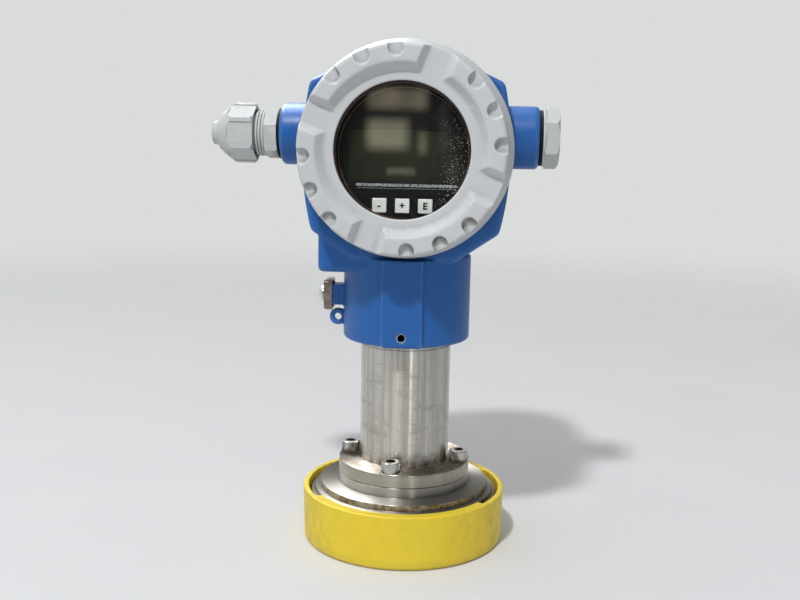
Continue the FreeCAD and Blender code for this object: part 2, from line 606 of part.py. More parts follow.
def housing():
    """Die-cast case: bowed faceted middle, two threaded necks, cable bosses, collar and its lugs."""
    body = new_body("housing")
    case = new_sketch(body, "XZ_Plane")
    half = [("case_top_w", "cover_z + case_top"), ("case_hip_w", "cover_z + case_hip"),
            ("case_knee_w", "cover_z - case_knee"), ("case_foot_w", "cover_z - case_foot")]
    corners = half + [("-" + x, z) for x, z in reversed(half)]
    outline(case, corners, {1: ("case_side_r", -1), 5: ("case_side_r", -1)})
    pad(body, case, "2 * case_half_d", Midplane=True)
    dress(body, "Fillet", "case_corner", lambda edge: edge.BoundBox.YLength > size("case_half_d"))
    dress(body, "Fillet", "case_edge", lambda edge: edge.BoundBox.YLength < NEAR)

    necks = circle(new_sketch(body, "XZ_Plane"), "0", "cover_z", "neck_d")
    pad(body, necks, "2 * neck_reach", Midplane=True)
    bosses = circle(new_sketch(body, "YZ_Plane"), "0", "entry_z", "boss_d")
    pad(body, bosses, "2 * boss_reach", Midplane=True)
    ends = lambda edge: abs(abs(edge.CenterOfMass.x) - size("boss_reach")) < NEAR
    dress(body, "Chamfer", "boss_edge", ends)

    shoulder = new_sketch(body, "XY_Plane", "shoulder_z")
    rectangle(shoulder, "-shoulder_reach", "0", "-shoulder_front", "shoulder_rear")
    pad(body, shoulder, "cover_z - case_knee + case_edge - shoulder_z")
    reach, under = size("shoulder_reach"), size("shoulder_z")

    def shoulder_edge(edge):
        box = edge.BoundBox
        upright = box.XMax < -reach + NEAR and box.ZMin < under + NEAR
        level = box.ZMax < under + NEAR and box.XMin < -reach + NEAR
        return upright or level
    dress(body, "Fillet", "shoulder_edge", shoulder_edge)

    collar = circle(new_sketch(body, "XY_Plane", COLLAR_Z), "0", "0", "collar_d")
    collar_h = "cover_z - cover_rim_d / 2 - 2 * cover_gap - (tube_top + swivel_lift)"
    pad(body, collar, collar_h)
    strip = new_sketch(body, "XY_Plane", COLLAR_Z)
    rectangle(strip, "-strip_w / 2", "strip_w / 2", "-strip_reach", "0")
    pad(body, strip, collar_h)
    low = size(COLLAR_Z)
    dress(body, "Chamfer", "collar_edge", lambda edge: edge.BoundBox.ZMax < low + NEAR)

    lug = new_sketch(body, "XZ_Plane")
    rectangle(lug, "-ground_reach", "ground_root - collar_d / 2",
              "ground_z - ground_pad_h / 2", "ground_z + ground_pad_h / 2")
    pad(body, lug, "ground_pad_w", Midplane=True)
    ear = circle(new_sketch(body, "XZ_Plane"), "-ear_x", "ear_z", "2 * ear_r")
    pad(body, ear, "ear_t", Midplane=True)

    front = circle(new_sketch(body, "XZ_Plane", "neck_reach"), "0", "cover_z", "room_d")
    pocket(body, front, "neck_reach - wall_front")
    rear = circle(new_sketch(body, "XZ_Plane", "-neck_reach"), "0", "cover_z", "room_d")
    pocket(body, rear, "neck_reach + wall_rear", Reversed=True)
    entries = circle(new_sketch(body, "YZ_Plane"), "0", "entry_z", "entry_d")
    pocket(body, entries, "2 * boss_reach", Midplane=True)
    bore = circle(new_sketch(body, "XY_Plane", COLLAR_Z), "0", "0", "spigot_d + 2 * swivel_fit")
    pocket(body, bore, "spigot_h", Reversed=True)
    duct = circle(new_sketch(body, "XY_Plane", COLLAR_Z), "0", "duct_y", "duct_d")
    pocket(body, duct, "cover_z - room_d / 2 + duct_d - (tube_top + swivel_lift)", Reversed=True)
    grub = circle(new_sketch(body, "XZ_Plane", "strip_reach"), "0", "grub_z", "grub_d + 2 * grub_fit")
    pocket(body, grub, "strip_reach - spigot_d / 2 + grub_d")
    tap = circle(new_sketch(body, "YZ_Plane", "-ground_reach"), "0", "ground_z",
                 "pan_thread + 2 * grub_fit")
    pocket(body, tap, "pan_len + drill_spare", Reversed=True)
    eye = circle(new_sketch(body, "XZ_Plane"), "-ear_x", "ear_z", "ear_hole")
    pocket(body, eye, "2 * ear_t", Midplane=True)
    return keep(body, "housing")


def housing_hardware():
    """Set screw in the collar; clamp and pan-head screw of the ground terminal."""
    grub = new_body("housing_set_screw")
    turn_profile(grub, [("0", "0"), ("grub_d / 2 - grub_gap", "0"), ("grub_d / 2", "grub_gap"),
                        ("grub_d / 2", "grub_len"), ("0", "grub_len")])
    pocket(grub, hexagon(new_sketch(grub, "XY_Plane", "grub_len"), "grub_socket"), "grub_socket")
    place(grub, y="-(spigot_d / 2 + swivel_fit + grub_gap)", z="grub_z", turn=FRONT)
    keep(grub, "housing_set_screw")

    clamp = new_body("ground_clamp")
    sheet_line = new_sketch(clamp, "XZ_Plane")
    half = "clamp_h / 2"
    outline(sheet_line, [
        ("-clamp_t", "-" + half), ("clamp_leg", "-" + half), ("clamp_leg", "clamp_t - " + half),
        ("0", "clamp_t - " + half), ("0", half + " - clamp_t"), ("clamp_leg", half + " - clamp_t"),
        ("clamp_leg", half), ("-clamp_t", half)])
    pad(clamp, sheet_line, "clamp_w", Midplane=True)
    corner = lambda edge: edge.BoundBox.XMax < -size("clamp_t") + NEAR and edge.BoundBox.YLength > NEAR
    dress(clamp, "Fillet", "clamp_t", corner)
    hole = circle(new_sketch(clamp, "YZ_Plane"), "0", "0", "pan_thread + 4 * grub_fit")
    pocket(clamp, hole, "4 * clamp_t", Midplane=True)
    place(clamp, x="-ground_reach", z="ground_z")
    keep(clamp, "ground_clamp")

    pan = new_body("ground_screw")
    head = "pan_d / 2"
    turn_profile(pan, [
        ("0", "-(pan_len + clamp_t)"), ("pan_thread / 2", "-(pan_len + clamp_t)"), ("pan_thread / 2", "0"),
        (head, "0"), (head, "pan_h / 2"), (head + " / 2", "pan_h"), ("0", "pan_h")])
    for angle in (0.0, 90.0):
        slot = new_sketch(pan, "XY_Plane", "pan_h", angle)
        rectangle(slot, "-" + head, head, "-pan_slot / 2", "pan_slot / 2")
        pocket(pan, slot, "pan_h / 2")
    place(pan, x="-(ground_reach + clamp_t)", z="ground_z", turn=LEFT)
    keep(pan, "ground_screw")


def cover(name, glazed, turn):
    """Cast screw cover: skirt, conical dish, four wrench grooves and twelve rim scallops.

    It is built about Z with the middle of the housing at 0, and turned to face its compartment."""
    body = new_body(name)
    outer, rim = "cover_d / 2", "cover_rim_d / 2"
    base = "case_half_d + cover_gap"
    seal_room = "neck_d / 2 + 2 * cover_seal_fit + cover_seal_d"
    seal_top = "case_half_d + cover_seal_d + 2 * cover_seal_fit"
    thread = "neck_d / 2 + thread_fit"
    shelf = "neck_reach + cover_gap"
    dish = "cover_front - dish_depth"
    seat = dish + " - glass_seat_t"
    skirt = [
        (thread, shelf), (thread, seal_top), (seal_room, seal_top), (seal_room, base),
        (rim + " - cover_edge / 2", base), (rim, base + " + cover_edge / 2"),
        (rim, base + " + cover_rim_t"), (outer, base + " + cover_rim_t + cover_slope"),
        (outer, "cover_front - cover_edge"), (outer + " - cover_edge", "cover_front"),
        ("dish_rim_d / 2", "cover_front"), ("dish_floor_d / 2", dish)]
    if glazed:
        bore = "glass_d / 2 + glass_fit"
        closing = [("window_d / 2", dish), ("window_d / 2", seat), (bore, seat), (bore, shelf)]
    else:
        closing = [("0", dish), ("0", seat + " - glass_seal_t"), ("glass_d / 2", seat + " - glass_seal_t"),
                   ("glass_d / 2", shelf)]
    turn_profile(body, skirt + closing)

    groove = new_sketch(body, "YZ_Plane")
    wide = "(groove_half_w + groove_slope)"
    outline(groove, [("-groove_half_w", dish), ("groove_half_w", dish), (wide, "cover_front"),
                     (wide, "cover_front + dish_depth"), ("-" + wide, "cover_front + dish_depth"),
                     ("-" + wide, "cover_front")])
    cuts = [pocket(body, groove, "cover_rim_d", Reversed=True)]
    tip = outer + " - scallop_reach + scallop_w / 2"
    for step in (-1, 0, 1):
        angle = "scallop_middle + %d * scallop_pitch" % step
        scallop = new_sketch(body, "XY_Plane", "cover_front", size(angle))
        scallop.setExpression("AttachmentOffset.Rotation.Angle", bound(angle))
        outline(scallop, [
            ("cover_rim_d", "-scallop_w / 2"), ("cover_rim_d", "scallop_w / 2"),
            (tip, "scallop_w / 2"), (tip, "-scallop_w / 2")],
            {2: ("scallop_w / 2 + scallop_ease", 1)})
        cuts.append(pocket(body, scallop, "scallop_depth"))
    polar(body, cuts, WRENCH_GROOVES)
    place(body, z="cover_z", turn=turn.multiply(Rotation(Vector(0, 0, 1), size("cover_turn"))))
    keep(body, name)

    section = seal_ring(name + "_seal", "neck_d / 2 + cover_seal_fit + cover_seal_d / 2", "cover_seal_d",
                        "case_half_d + cover_seal_fit + cover_seal_d / 2")
    place(section, z="cover_z", turn=turn)


def glazing():
    """Sight glass on its seal, held from behind by a screwed ring."""
    seat = "cover_front - dish_depth - glass_seat_t"
    glass = seat + " - glass_seal_t"
    back = glass + " - glass_t"
    pieces = [
        ring("glass_seal", "window_d / 2 - glass_seal_show", "glass_d / 2", glass, seat),
        ring("glass_ring", "ring_bore / 2", "glass_d / 2", back + " - ring_t", back)]
    body = new_body("sight_glass")
    turn_profile(body, [("0", back), ("glass_d / 2", back), ("glass_d / 2", glass), ("0", glass)])
    pieces.append(keep(body, "sight_glass"))
    for piece in pieces:
        place(piece, z="cover_z", turn=FRONT)


def electronics():
    """Electronics puck, display module with its glass and keys, and the terminal block behind."""
    back = "display_front - display_t"
    puck = new_body("electronics_module")
    turn_profile(puck, [
        ("0", "wall_front"), ("module_d / 2 - module_edge", "wall_front"),
        ("module_d / 2", "wall_front + module_edge"),
        ("module_d / 2", back + " - module_fit"), ("0", back + " - module_fit")])
    place(puck, z="cover_z", turn=FRONT)
    keep(puck, "electronics_module")

    module = new_body("display_module")
    turn_profile(module, [
        ("0", back + " - module_fit"), ("module_d / 2", back + " - module_fit"),
        ("module_d / 2", "display_front - module_edge"),
        ("module_d / 2 - module_edge", "display_front"), ("0", "display_front")])
    window = new_sketch(module, "XY_Plane", "display_front")
    rectangle(window, "-lcd_w / 2", "lcd_w / 2", "-lcd_drop - lcd_h / 2", "lcd_h / 2 - lcd_drop")
    pocket(module, window, "lcd_sink + lcd_t")
    for step in (-1, 0, 1):
        well = new_sketch(module, "XY_Plane", "display_front")
        half = "(key_w / 2 + key_fit)"
        middle = "%d * key_pitch" % step
        rectangle(well, "%s - %s" % (middle, half), "%s + %s" % (middle, half),
                  "-key_drop - " + half, "-key_drop + " + half)
        pocket(module, well, "key_len - key_rise + key_travel + key_fit")
    place(module, z="cover_z", turn=FRONT)
    keep(module, "display_module")

    panel = new_body("lcd_panel")
    face = new_sketch(panel, "XY_Plane", "display_front - lcd_sink - lcd_t")
    rectangle(face, "-lcd_w / 2", "lcd_w / 2", "-lcd_drop - lcd_h / 2", "lcd_h / 2 - lcd_drop")
    pad(panel, face, "lcd_t")
    place(panel, z="cover_z", turn=FRONT)
    keep(panel, "lcd_panel")

    for step, name in ((-1, "key_minus"), (0, "key_plus"), (1, "key_enter")):
        key = new_body(name)
        face = new_sketch(key, "XY_Plane")
        rectangle(face, "-key_w / 2", "key_w / 2", "-key_w / 2", "key_w / 2")
        pad(key, face, "key_len")
        dress(key, "Fillet", "key_edge", lambda edge: edge.BoundBox.ZMax > size("key_len") - NEAR)
        place(key, x="%d * key_pitch" % step, y="-(display_front + key_rise - key_len)",
              z="cover_z - key_drop", turn=FRONT)
        keep(key, name)

    block = new_body("terminal_block")
    foot = new_sketch(block, "XY_Plane")
    rectangle(foot, "-block_w / 2", "block_w / 2", "-block_h / 2", "block_h / 2")
    pad(block, foot, "block_t")
    ways = new_sketch(block, "XY_Plane", "block_t")
    for step in (-1, 0, 1):
        circle(ways, "%d * terminal_pitch" % step, "0", "terminal_d + 2 * terminal_fit")
    pocket(block, ways, "terminal_sink")
    place(block, y="-wall_rear", z="cover_z - block_drop", turn=REAR)
    keep(block, "terminal_block")

    screws = []
    for step in (-1, 0, 1):
        screw = new_body("terminal_screw_%d" % (step + 2))
        turn_profile(screw, [("0", "0"), ("terminal_d / 2", "0"), ("terminal_d / 2", "terminal_h"),
                             ("0", "terminal_h")])
        slot = new_sketch(screw, "XY_Plane", "terminal_h")
        rectangle(slot, "-terminal_d", "terminal_d", "-pan_slot / 2", "pan_slot / 2")
        pocket(screw, slot, "terminal_h / 2")
        place(screw, x="%d * terminal_pitch" % step, y="block_t - wall_rear - terminal_sink",
              z="cover_z - block_drop", turn=REAR)
        screws.append(screw)
    group = doc.addObject("Part::Compound", "terminal_screws")
    group.Links = screws
    keep(group, "terminal_screws")


def cable_gland():
    """Gasket, gland body, sealing bush and dome nut, built outwards from the boss end."""
    hex_end = "gasket_t + gland_hex_t"
    nut_start = hex_end + " + gland_show"
    cup = hex_end + " + bush_fit"
    gasket = ring("gland_gasket", "gasket_bore / 2", "gland_gasket_d / 2", "0", "gasket_t")

    body = new_body("gland_body")
    pad(body, hexagon(new_sketch(body, "XY_Plane", "gasket_t"), "gland_af"), "gland_hex_t")
    chamfer_hexagon(body, "gland_af", hex_end + " - nut_chamfer / 2", hex_end)
    stem = new_sketch(body, "XY_Plane", "-thread_len")
    pad(body, circle(stem, "0", "0", "thread_d"), "thread_len + gasket_t")
    spout = new_sketch(body, "XY_Plane", hex_end)
    pad(body, circle(spout, "0", "0", "gland_neck_d"), "gland_neck_len")
    turn_profile(body, [
        ("0", "-thread_len"), ("gland_bore / 2", "-thread_len"), ("gland_bore / 2", cup),
        ("gland_cup_d / 2", cup), ("gland_cup_d / 2", hex_end + " + gland_neck_len"),
        ("0", hex_end + " + gland_neck_len")], "Groove")
    keep(body, "gland_body")

    bush = new_body("gland_bush")
    outer = "gland_cup_d / 2 - bush_fit"
    turn_profile(bush, [
        ("bush_bore / 2", nut_start), (outer, nut_start), (outer, nut_start + " + bush_len - bush_cone"),
        (outer + " - bush_cone", nut_start + " + bush_len"), ("bush_bore / 2", nut_start + " + bush_len")])
    keep(bush, "gland_bush")

    nut = new_body("gland_nut")
    hex_top = nut_start + " + nut_hex_t"
    dome_top = hex_top + " + nut_dome"
    pad(nut, hexagon(new_sketch(nut, "XY_Plane", nut_start), "nut_af"), "nut_hex_t")
    chamfer_hexagon(nut, "nut_af", hex_top + " - nut_chamfer", hex_top)
    chamfer_hexagon(nut, "nut_af", nut_start + " + nut_chamfer", nut_start)
    lip = "nut_mouth_d / 2 + nut_fit"
    turn_profile(nut, [
        ("0", hex_top), ("nut_dome_d / 2", hex_top), ("nut_dome_d / 2", hex_top + " + nut_chamfer"),
        (lip, dome_top), ("0", dome_top)], "Revolution", {2: ("nut_dome_d / 2", 1)})
    room = "gland_neck_d / 2 + nut_fit"
    turn_profile(nut, [
        ("0", nut_start), (room, nut_start), (room, nut_start + " + nut_room"),
        ("nut_mouth_d / 2", nut_start + " + nut_room + nut_cone"), ("nut_mouth_d / 2", dome_top),
        ("0", dome_top)], "Groove")
    keep(nut, "gland_nut")
    for piece in (gasket, body, bush, nut):
        place(piece, x="-boss_reach", z="entry_z", turn=LEFT)


def blanking_plug():
    """Hexagon plug on its gasket in the entry that has no cable."""
    gasket = ring("plug_gasket", "gasket_bore / 2", "plug_gasket_d / 2", "0", "gasket_t")
    plug = new_body("blanking_plug")
    hex_start = "gasket_t + plug_flange_t"
    hex_end = hex_start + " + plug_hex_t"
    turn_profile(plug, [
        ("0", "-thread_len"), ("thread_d / 2 - turned_edge", "-thread_len"),
        ("thread_d / 2", "turned_edge - thread_len"), ("thread_d / 2", "gasket_t"),
        ("plug_flange_d / 2", "gasket_t"), ("plug_flange_d / 2", hex_start), ("0", hex_start)])
    pad(plug, hexagon(new_sketch(plug, "XY_Plane", hex_start), "plug_af"), "plug_hex_t")
    chamfer_hexagon(plug, "plug_af", hex_end + " - nut_chamfer", hex_end)
    keep(plug, "blanking_plug")
    for piece in (gasket, plug):
        place(piece, x="boss_reach", z="entry_z", turn=RIGHT)


protective_cap()
process_flange()
neck()
cell_pieces()
flange_screws()
housing()
housing_hardware()
cover("front_cover", True, FRONT)
cover("rear_cover", False, REAR)
glazing()
electronics()
cable_gland()
blanking_plug()
doc.recompute()

for item in doc.Objects:
    if "Invalid" in item.State or "Error" in item.State:
        raise RuntimeError("%s failed: %s" % (item.Name, item.State))
for piece in PARTS:
    if piece.Shape.isNull() or not piece.Shape.isValid() or not piece.Shape.Solids:
        raise RuntimeError("%s has no sound solid" % piece.Label)

os.makedirs("parts", exist_ok=True)
for piece in PARTS:
    piece.Shape.exportStep("parts/%s.step" % piece.Label)
    print("%-22s %2d solid %10.1f mm3" % (piece.Label, len(piece.Shape.Solids), piece.Shape.Volume))
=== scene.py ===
"""A pressure transmitter standing in its protective cap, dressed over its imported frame."""
import math

import bpy
from mathutils import Matrix, Vector


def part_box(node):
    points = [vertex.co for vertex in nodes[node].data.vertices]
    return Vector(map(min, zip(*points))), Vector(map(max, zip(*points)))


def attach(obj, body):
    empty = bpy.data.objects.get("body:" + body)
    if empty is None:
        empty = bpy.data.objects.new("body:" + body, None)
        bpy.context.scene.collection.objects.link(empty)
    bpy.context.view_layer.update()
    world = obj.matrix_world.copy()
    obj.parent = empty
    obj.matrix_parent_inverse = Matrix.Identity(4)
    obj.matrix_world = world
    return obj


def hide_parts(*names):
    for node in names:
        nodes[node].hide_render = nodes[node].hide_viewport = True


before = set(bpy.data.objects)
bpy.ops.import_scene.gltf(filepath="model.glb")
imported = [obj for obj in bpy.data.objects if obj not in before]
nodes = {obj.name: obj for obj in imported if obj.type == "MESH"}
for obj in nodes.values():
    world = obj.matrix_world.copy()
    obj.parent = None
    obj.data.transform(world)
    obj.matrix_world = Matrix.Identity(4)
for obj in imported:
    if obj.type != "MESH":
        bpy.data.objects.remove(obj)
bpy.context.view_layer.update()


# Protective cap
# A moulded polyethylene cup that guards the process flange in transport. The wall leans out so that
# the cup leaves its mould, and two long lips snap over the flange and hold it.
MM = 0.001
CAP_STEPS = 180
LIP_BOTTOM, CAP_HEIGHT, CAP_INSIDE_R = 27.2, 29.6, 53.7
LIP_REACH_R, LIP_HALF_ANGLE = 50.1, 58.0


def pick(piece, kind, test):
    """Selects in edit mode the faces, edges or corners whose middle in mm and direction pass a test."""
    bpy.ops.object.mode_set(mode="EDIT")
    bpy.ops.mesh.select_mode(type=kind)
    bpy.ops.mesh.select_all(action="DESELECT")
    bpy.ops.object.mode_set(mode="OBJECT")
    mesh = piece.data
    if kind == "FACE":
        for face in mesh.polygons:
            face.select = test(face.center / MM, face.normal)
    elif kind == "EDGE":
        for edge in mesh.edges:
            first, last = (mesh.vertices[end].co for end in edge.vertices)
            edge.select = test((first + last) / 2 / MM, (last - first).normalized())
    else:
        for corner in mesh.vertices:
            corner.select = test(corner.co / MM, corner.normal)
    bpy.ops.object.mode_set(mode="EDIT")


def turned(name, corners, closed=False, steps=96):
    """A piece turned about Z, as on a lathe, from (radius, height, rounding) corners in mm."""
    bpy.ops.object.select_all(action="DESELECT")
    bpy.ops.mesh.primitive_plane_add(size=MM)
    piece = bpy.context.object
    piece.name = piece.data.name = name
    bpy.ops.object.mode_set(mode="EDIT")
    bpy.ops.mesh.select_mode(type="VERT")
    bpy.ops.mesh.select_all(action="SELECT")
    bpy.ops.mesh.merge(type="CENTER")
    here = Vector((corners[0][0], 0, corners[0][1])) * MM
    bpy.ops.transform.translate(value=here)
    for radius, height, rounding in corners[1:] + (corners[:1] if closed else []):
        there = Vector((radius, 0, height)) * MM
        bpy.ops.mesh.extrude_region_move(TRANSFORM_OT_translate={"value": there - here})
        here = there
    bpy.ops.mesh.select_all(action="SELECT")
    bpy.ops.mesh.remove_doubles(threshold=0.001 * MM)
    for radius, height, rounding in corners:
        if rounding:
            corner_at = Vector((radius, 0, height))
            pick(piece, "VERT", lambda middle, facing: (middle - corner_at).length < 0.01)
            bpy.ops.mesh.bevel(offset=rounding * MM, segments=4, affect="VERTICES")
    bpy.ops.mesh.select_all(action="SELECT")
    bpy.ops.mesh.spin(steps=steps, angle=2 * math.pi, center=(0, 0, 0), axis=(0, 0, 1))
    bpy.ops.mesh.select_all(action="SELECT")
    bpy.ops.mesh.remove_doubles(threshold=0.001 * MM)
    bpy.ops.mesh.normals_make_consistent(inside=False)
    bpy.ops.object.mode_set(mode="OBJECT")
    return piece


def work_on(piece):
    """Makes a piece the only selected one."""
    bpy.ops.object.select_all(action="DESELECT")
    piece.select_set(True)
    bpy.context.view_layer.objects.active = piece


def modify(piece, kind, **settings):
    """Adds a modifier to a piece and applies it."""
    work_on(piece)
    modifier = piece.modifiers.new(kind.lower(), kind)
    for name, value in settings.items():
        setattr(modifier, name, value)
    bpy.ops.object.modifier_apply(modifier=modifier.name)


def ease(piece, width, angle, segments=2):
    """Rounds a piece's edges that are sharper than an angle, over a width in mm."""
    modify(piece, "BEVEL", width=width * MM, segments=segments, limit_method="ANGLE",
           angle_limit=math.radians(angle))


def smooth(piece, angle=35):
    """Smooth shading, with flat faces kept flat and edges sharper than the angle left crisp."""
    work_on(piece)
    bpy.ops.object.shade_smooth_by_angle(angle=math.radians(angle))
    modify(piece, "WEIGHTED_NORMAL", keep_sharp=True)


def linear(colour):
    """An sRGB hex colour as linear RGBA."""
    channels = [int(colour[at:at + 2], 16) / 255 for at in (1, 3, 5)]
    return [c / 12.92 if c <= 0.04045 else ((c + 0.055) / 1.055) ** 2.4 for c in channels] + [1.0]


def add(finish, kind, inputs, **settings):
    """A shader node with its settings and inputs: a socket, a node's result, a hex colour or a value each.

    A Mix has its share at 0 and its colours at 6 and 7. A Map Range has its value at 0, and turns the
    range from 1 to 2 into the one from 3 to 4, or from zero to one where none is given.
    """
    tree = finish.node_tree
    node = tree.nodes.new("ShaderNode" + kind)
    for name, value in settings.items():
        setattr(node, name, value)
    for name, value in inputs.items():
        if isinstance(value, bpy.types.Node):
            value = next(socket for socket in value.outputs if socket.enabled)
        if isinstance(value, bpy.types.NodeSocket):
            tree.links.new(value, node.inputs[name])
        else:
            node.inputs[name].default_value = linear(value) if isinstance(value, str) else value
    return node


def new_finish(name):
    """An empty node material, and the place on the piece, which its patterns read."""
    finish = bpy.data.materials.new(name)
    finish.use_nodes = True
    finish.node_tree.nodes.clear()
    return finish, add(finish, "TexCoord", {}).outputs["Object"]


def fit(piece, body, slot, finish, *stands_for):
    """Gives a piece its finish, the body it moves with and the frame nodes it stands for."""
    piece.data.materials.clear()
    piece.data.materials.append(finish)
    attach(piece, body)
    if stands_for:
        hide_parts(*stands_for)


cap = turned("protective_cap_cup", [
    (0, 0, 0), (56.0, 0, 2.2), (56.6, CAP_HEIGHT, 0.6), (CAP_INSIDE_R, CAP_HEIGHT, 0.3),
    (53.65, LIP_BOTTOM, 0), (53.1, 3.0, 0.8), (0, 3.0, 0)], steps=CAP_STEPS)


def on_lip(middle, facing):
    """Whether a face of the cap is on the inside of the wall where a lip grows."""
    angle = math.degrees(math.atan2(abs(middle.x), abs(middle.y)))
    inside = facing.x * middle.x + facing.y * middle.y < -10
    return inside and LIP_BOTTOM < middle.z < CAP_HEIGHT - 0.3 and angle < LIP_HALF_ANGLE


pick(cap, "FACE", on_lip)
lip_scale = LIP_REACH_R / CAP_INSIDE_R
bpy.ops.mesh.extrude_region_move()
bpy.ops.transform.resize(value=(lip_scale, lip_scale, 1), center_override=(0, 0, 0))
bpy.ops.object.mode_set(mode="OBJECT")
ease(cap, 0.3, 50)
smooth(cap)

# Yellow polyethylene as it comes from the mould: soft satin, a little light inside, pale scuffs,
# brown grip marks on both sides and grey dirt along the foot.
polyethylene, place = new_finish("moulded_yellow_polyethylene")
cloud = add(polyethylene, "TexNoise", {"Vector": place, "Scale": 1 / (14 * MM), "Detail": 4.0})
scuff = add(polyethylene, "TexNoise",
            {"Vector": place, "Scale": 1 / (3.5 * MM), "Detail": 8.0, "Roughness": 0.7})
grain = add(polyethylene, "TexNoise", {"Vector": place, "Scale": 1 / (0.9 * MM), "Detail": 2.0})
streak_place = add(polyethylene, "Mapping", {"Vector": place, "Scale": (1.0, 1.0, 0.7)})
streak = add(polyethylene, "TexNoise", {
    "Vector": streak_place, "Scale": 1 / (5 * MM), "Detail": 7.0, "Roughness": 0.65})
height = add(polyethylene, "SeparateXYZ", {"Vector": place})
body_colour = add(polyethylene, "Mix", {0: cloud, 6: "#dec32c", 7: "#e7ce3a"}, data_type="RGBA")
scuffed = add(polyethylene, "MapRange", {0: scuff, 1: 0.62, 2: 0.74, 3: 0.0, 4: 0.35})
scuff_colour = add(polyethylene, "Mix", {0: scuffed, 6: body_colour, 7: "#eadf8a"}, data_type="RGBA")
low = add(polyethylene, "MapRange", {0: height.outputs["Z"], 1: 0.0, 2: 6 * MM, 3: 0.55, 4: 0.0})
dirty = add(polyethylene, "Math", {0: low, 1: scuff}, operation="MULTIPLY")
foot_colour = add(polyethylene, "Mix", {0: dirty, 6: scuff_colour, 7: "#8c8256"}, data_type="RGBA")
aside = add(polyethylene, "Math", {0: height.outputs["X"]}, operation="ABSOLUTE")
gripped = add(polyethylene, "MapRange", {0: aside, 1: 26 * MM, 2: 52 * MM, 3: 0.1, 4: 0.5})
smudge = add(polyethylene, "MapRange", {0: streak, 1: 0.48, 2: 0.72})
handled = add(polyethylene, "Math", {0: gripped, 1: smudge}, operation="MULTIPLY")
cap_colour = add(polyethylene, "Mix", {0: handled, 6: foot_colour, 7: "#94843c"}, data_type="RGBA")
satin = add(polyethylene, "MapRange", {0: scuff, 1: 0.3, 2: 0.7, 3: 0.38, 4: 0.52})
relief = add(polyethylene, "Bump", {"Height": grain, "Distance": 0.02 * MM})
shader = add(polyethylene, "BsdfPrincipled", {
    "Base Color": cap_colour, "Roughness": satin, "Specular IOR Level": 0.35,
    "Subsurface Weight": 0.12, "Subsurface Radius": (1.0, 0.75, 0.2), "Subsurface Scale": 2 * MM,
    "Normal": relief})
add(polyethylene, "OutputMaterial", {"Surface": shader})
fit(cap, "sensor", "yellow_cap", polyethylene, "protective_cap")


# Process flange
# A turned stainless flange: sealing nose below, raised disc and the lower half of the bolted joint
# above. It is faced and chamfered on a lathe, and sits in the cap.
TURNING_STEPS = 144
flange = turned("process_flange_turning", [
    (12.0, 3.6, 0), (25.0, 3.6, 0), (25.0, 3.0, 0), (32.5, 3.0, 0.4), (32.5, 9.0, 0),
    (52.2, 9.0, 0.6), (52.2, 27.0, 0.6), (50.0, 27.0, 0), (50.0, 29.2, 0.4), (47.0, 29.2, 0.2),
    (47.0, 32.7, 0.4), (36.65, 32.7, 0.2), (36.65, 38.0, 0), (36.3, 38.3, 0), (17.3, 38.3, 0.2),
    (17.3, 23.7, 0), (12.0, 23.7, 0)], closed=True, steps=TURNING_STEPS)
smooth(flange)


def dirt_and_shade_in_corners(finish, colour, dirt_and_shade, reach, deep, shallow, share):
    """A finish's colour with a share of dirt and painted shade in its corners, from deep to shallow ones,
    reach in mm.
    """
    corner = add(finish, "AmbientOcclusion", {"Distance": reach * MM}, samples=6)
    nook = add(finish, "MapRange", {0: corner.outputs["AO"], 1: deep, 2: shallow, 3: share, 4: 0.0})
    return add(finish, "Mix", {0: nook, 6: colour, 7: dirt_and_shade}, data_type="RGBA")


# Turned stainless steel: fine rings left by the tool, which follow the radius on a face and the
# height on a cylinder, wiping marks and a patchy haze on the tube, duller faces on top that are also
# painted darker as painted shade, dirt and painted shade in the corners, and brown specks of old
# residue where the tube meets the joint and on the disc's edge. The rings are drawn about five times
# too coarse, to show.
stainless, place = new_finish("turned_stainless_steel")
part_xyz = add(stainless, "SeparateXYZ", {"Vector": place})
flat_xy = add(stainless, "CombineXYZ", {"X": part_xyz.outputs["X"], "Y": part_xyz.outputs["Y"]})
radius = add(stainless, "VectorMath", {0: flat_xy}, operation="LENGTH")
tool_path = add(stainless, "CombineXYZ", {"X": radius, "Y": part_xyz.outputs["Z"]})
rings = add(stainless, "TexNoise", {
    "Vector": tool_path, "Scale": 1 / (0.7 * MM), "Detail": 3.0, "Roughness": 0.6})
smear = add(stainless, "TexNoise", {
    "Vector": place, "Scale": 1 / (4 * MM), "Detail": 8.0, "Roughness": 0.75})
scratch_place = add(stainless, "Mapping", {
    "Vector": place, "Rotation": (0.0, 0.0, 0.4), "Scale": (1.0, 1.0, 0.12)})
scratch = add(stainless, "TexNoise", {"Vector": scratch_place, "Scale": 1 / (0.9 * MM), "Detail": 2.0})
wipe_place = add(stainless, "Mapping", {"Vector": place, "Scale": (1.0, 1.0, 0.025)})
wiped = add(stainless, "TexNoise", {
    "Vector": wipe_place, "Scale": 1 / (2.2 * MM), "Detail": 5.0, "Roughness": 0.65})
tool_colour = add(stainless, "Mix", {0: rings, 6: "#b9b6ae", 7: "#dbd8d1"}, data_type="RGBA")
on_tube = add(stainless, "MapRange", {0: radius, 1: 26 * MM, 2: 27 * MM, 3: 0.55, 4: 0.0})
wiping = add(stainless, "MapRange", {0: wiped, 1: 0.42, 2: 0.68})
haze_place = add(stainless, "Mapping", {"Vector": place, "Scale": (1.0, 1.0, 2.2)})
haze = add(stainless, "TexNoise", {
    "Vector": haze_place, "Scale": 1 / (15 * MM), "Detail": 9.0, "Roughness": 0.72})
hazed = add(stainless, "MapRange", {0: haze, 1: 0.48, 2: 0.66})
marked = add(stainless, "Math", {0: wiping, 1: hazed}, operation="MAXIMUM")
wipe_share = add(stainless, "Math", {0: on_tube, 1: marked}, operation="MULTIPLY")
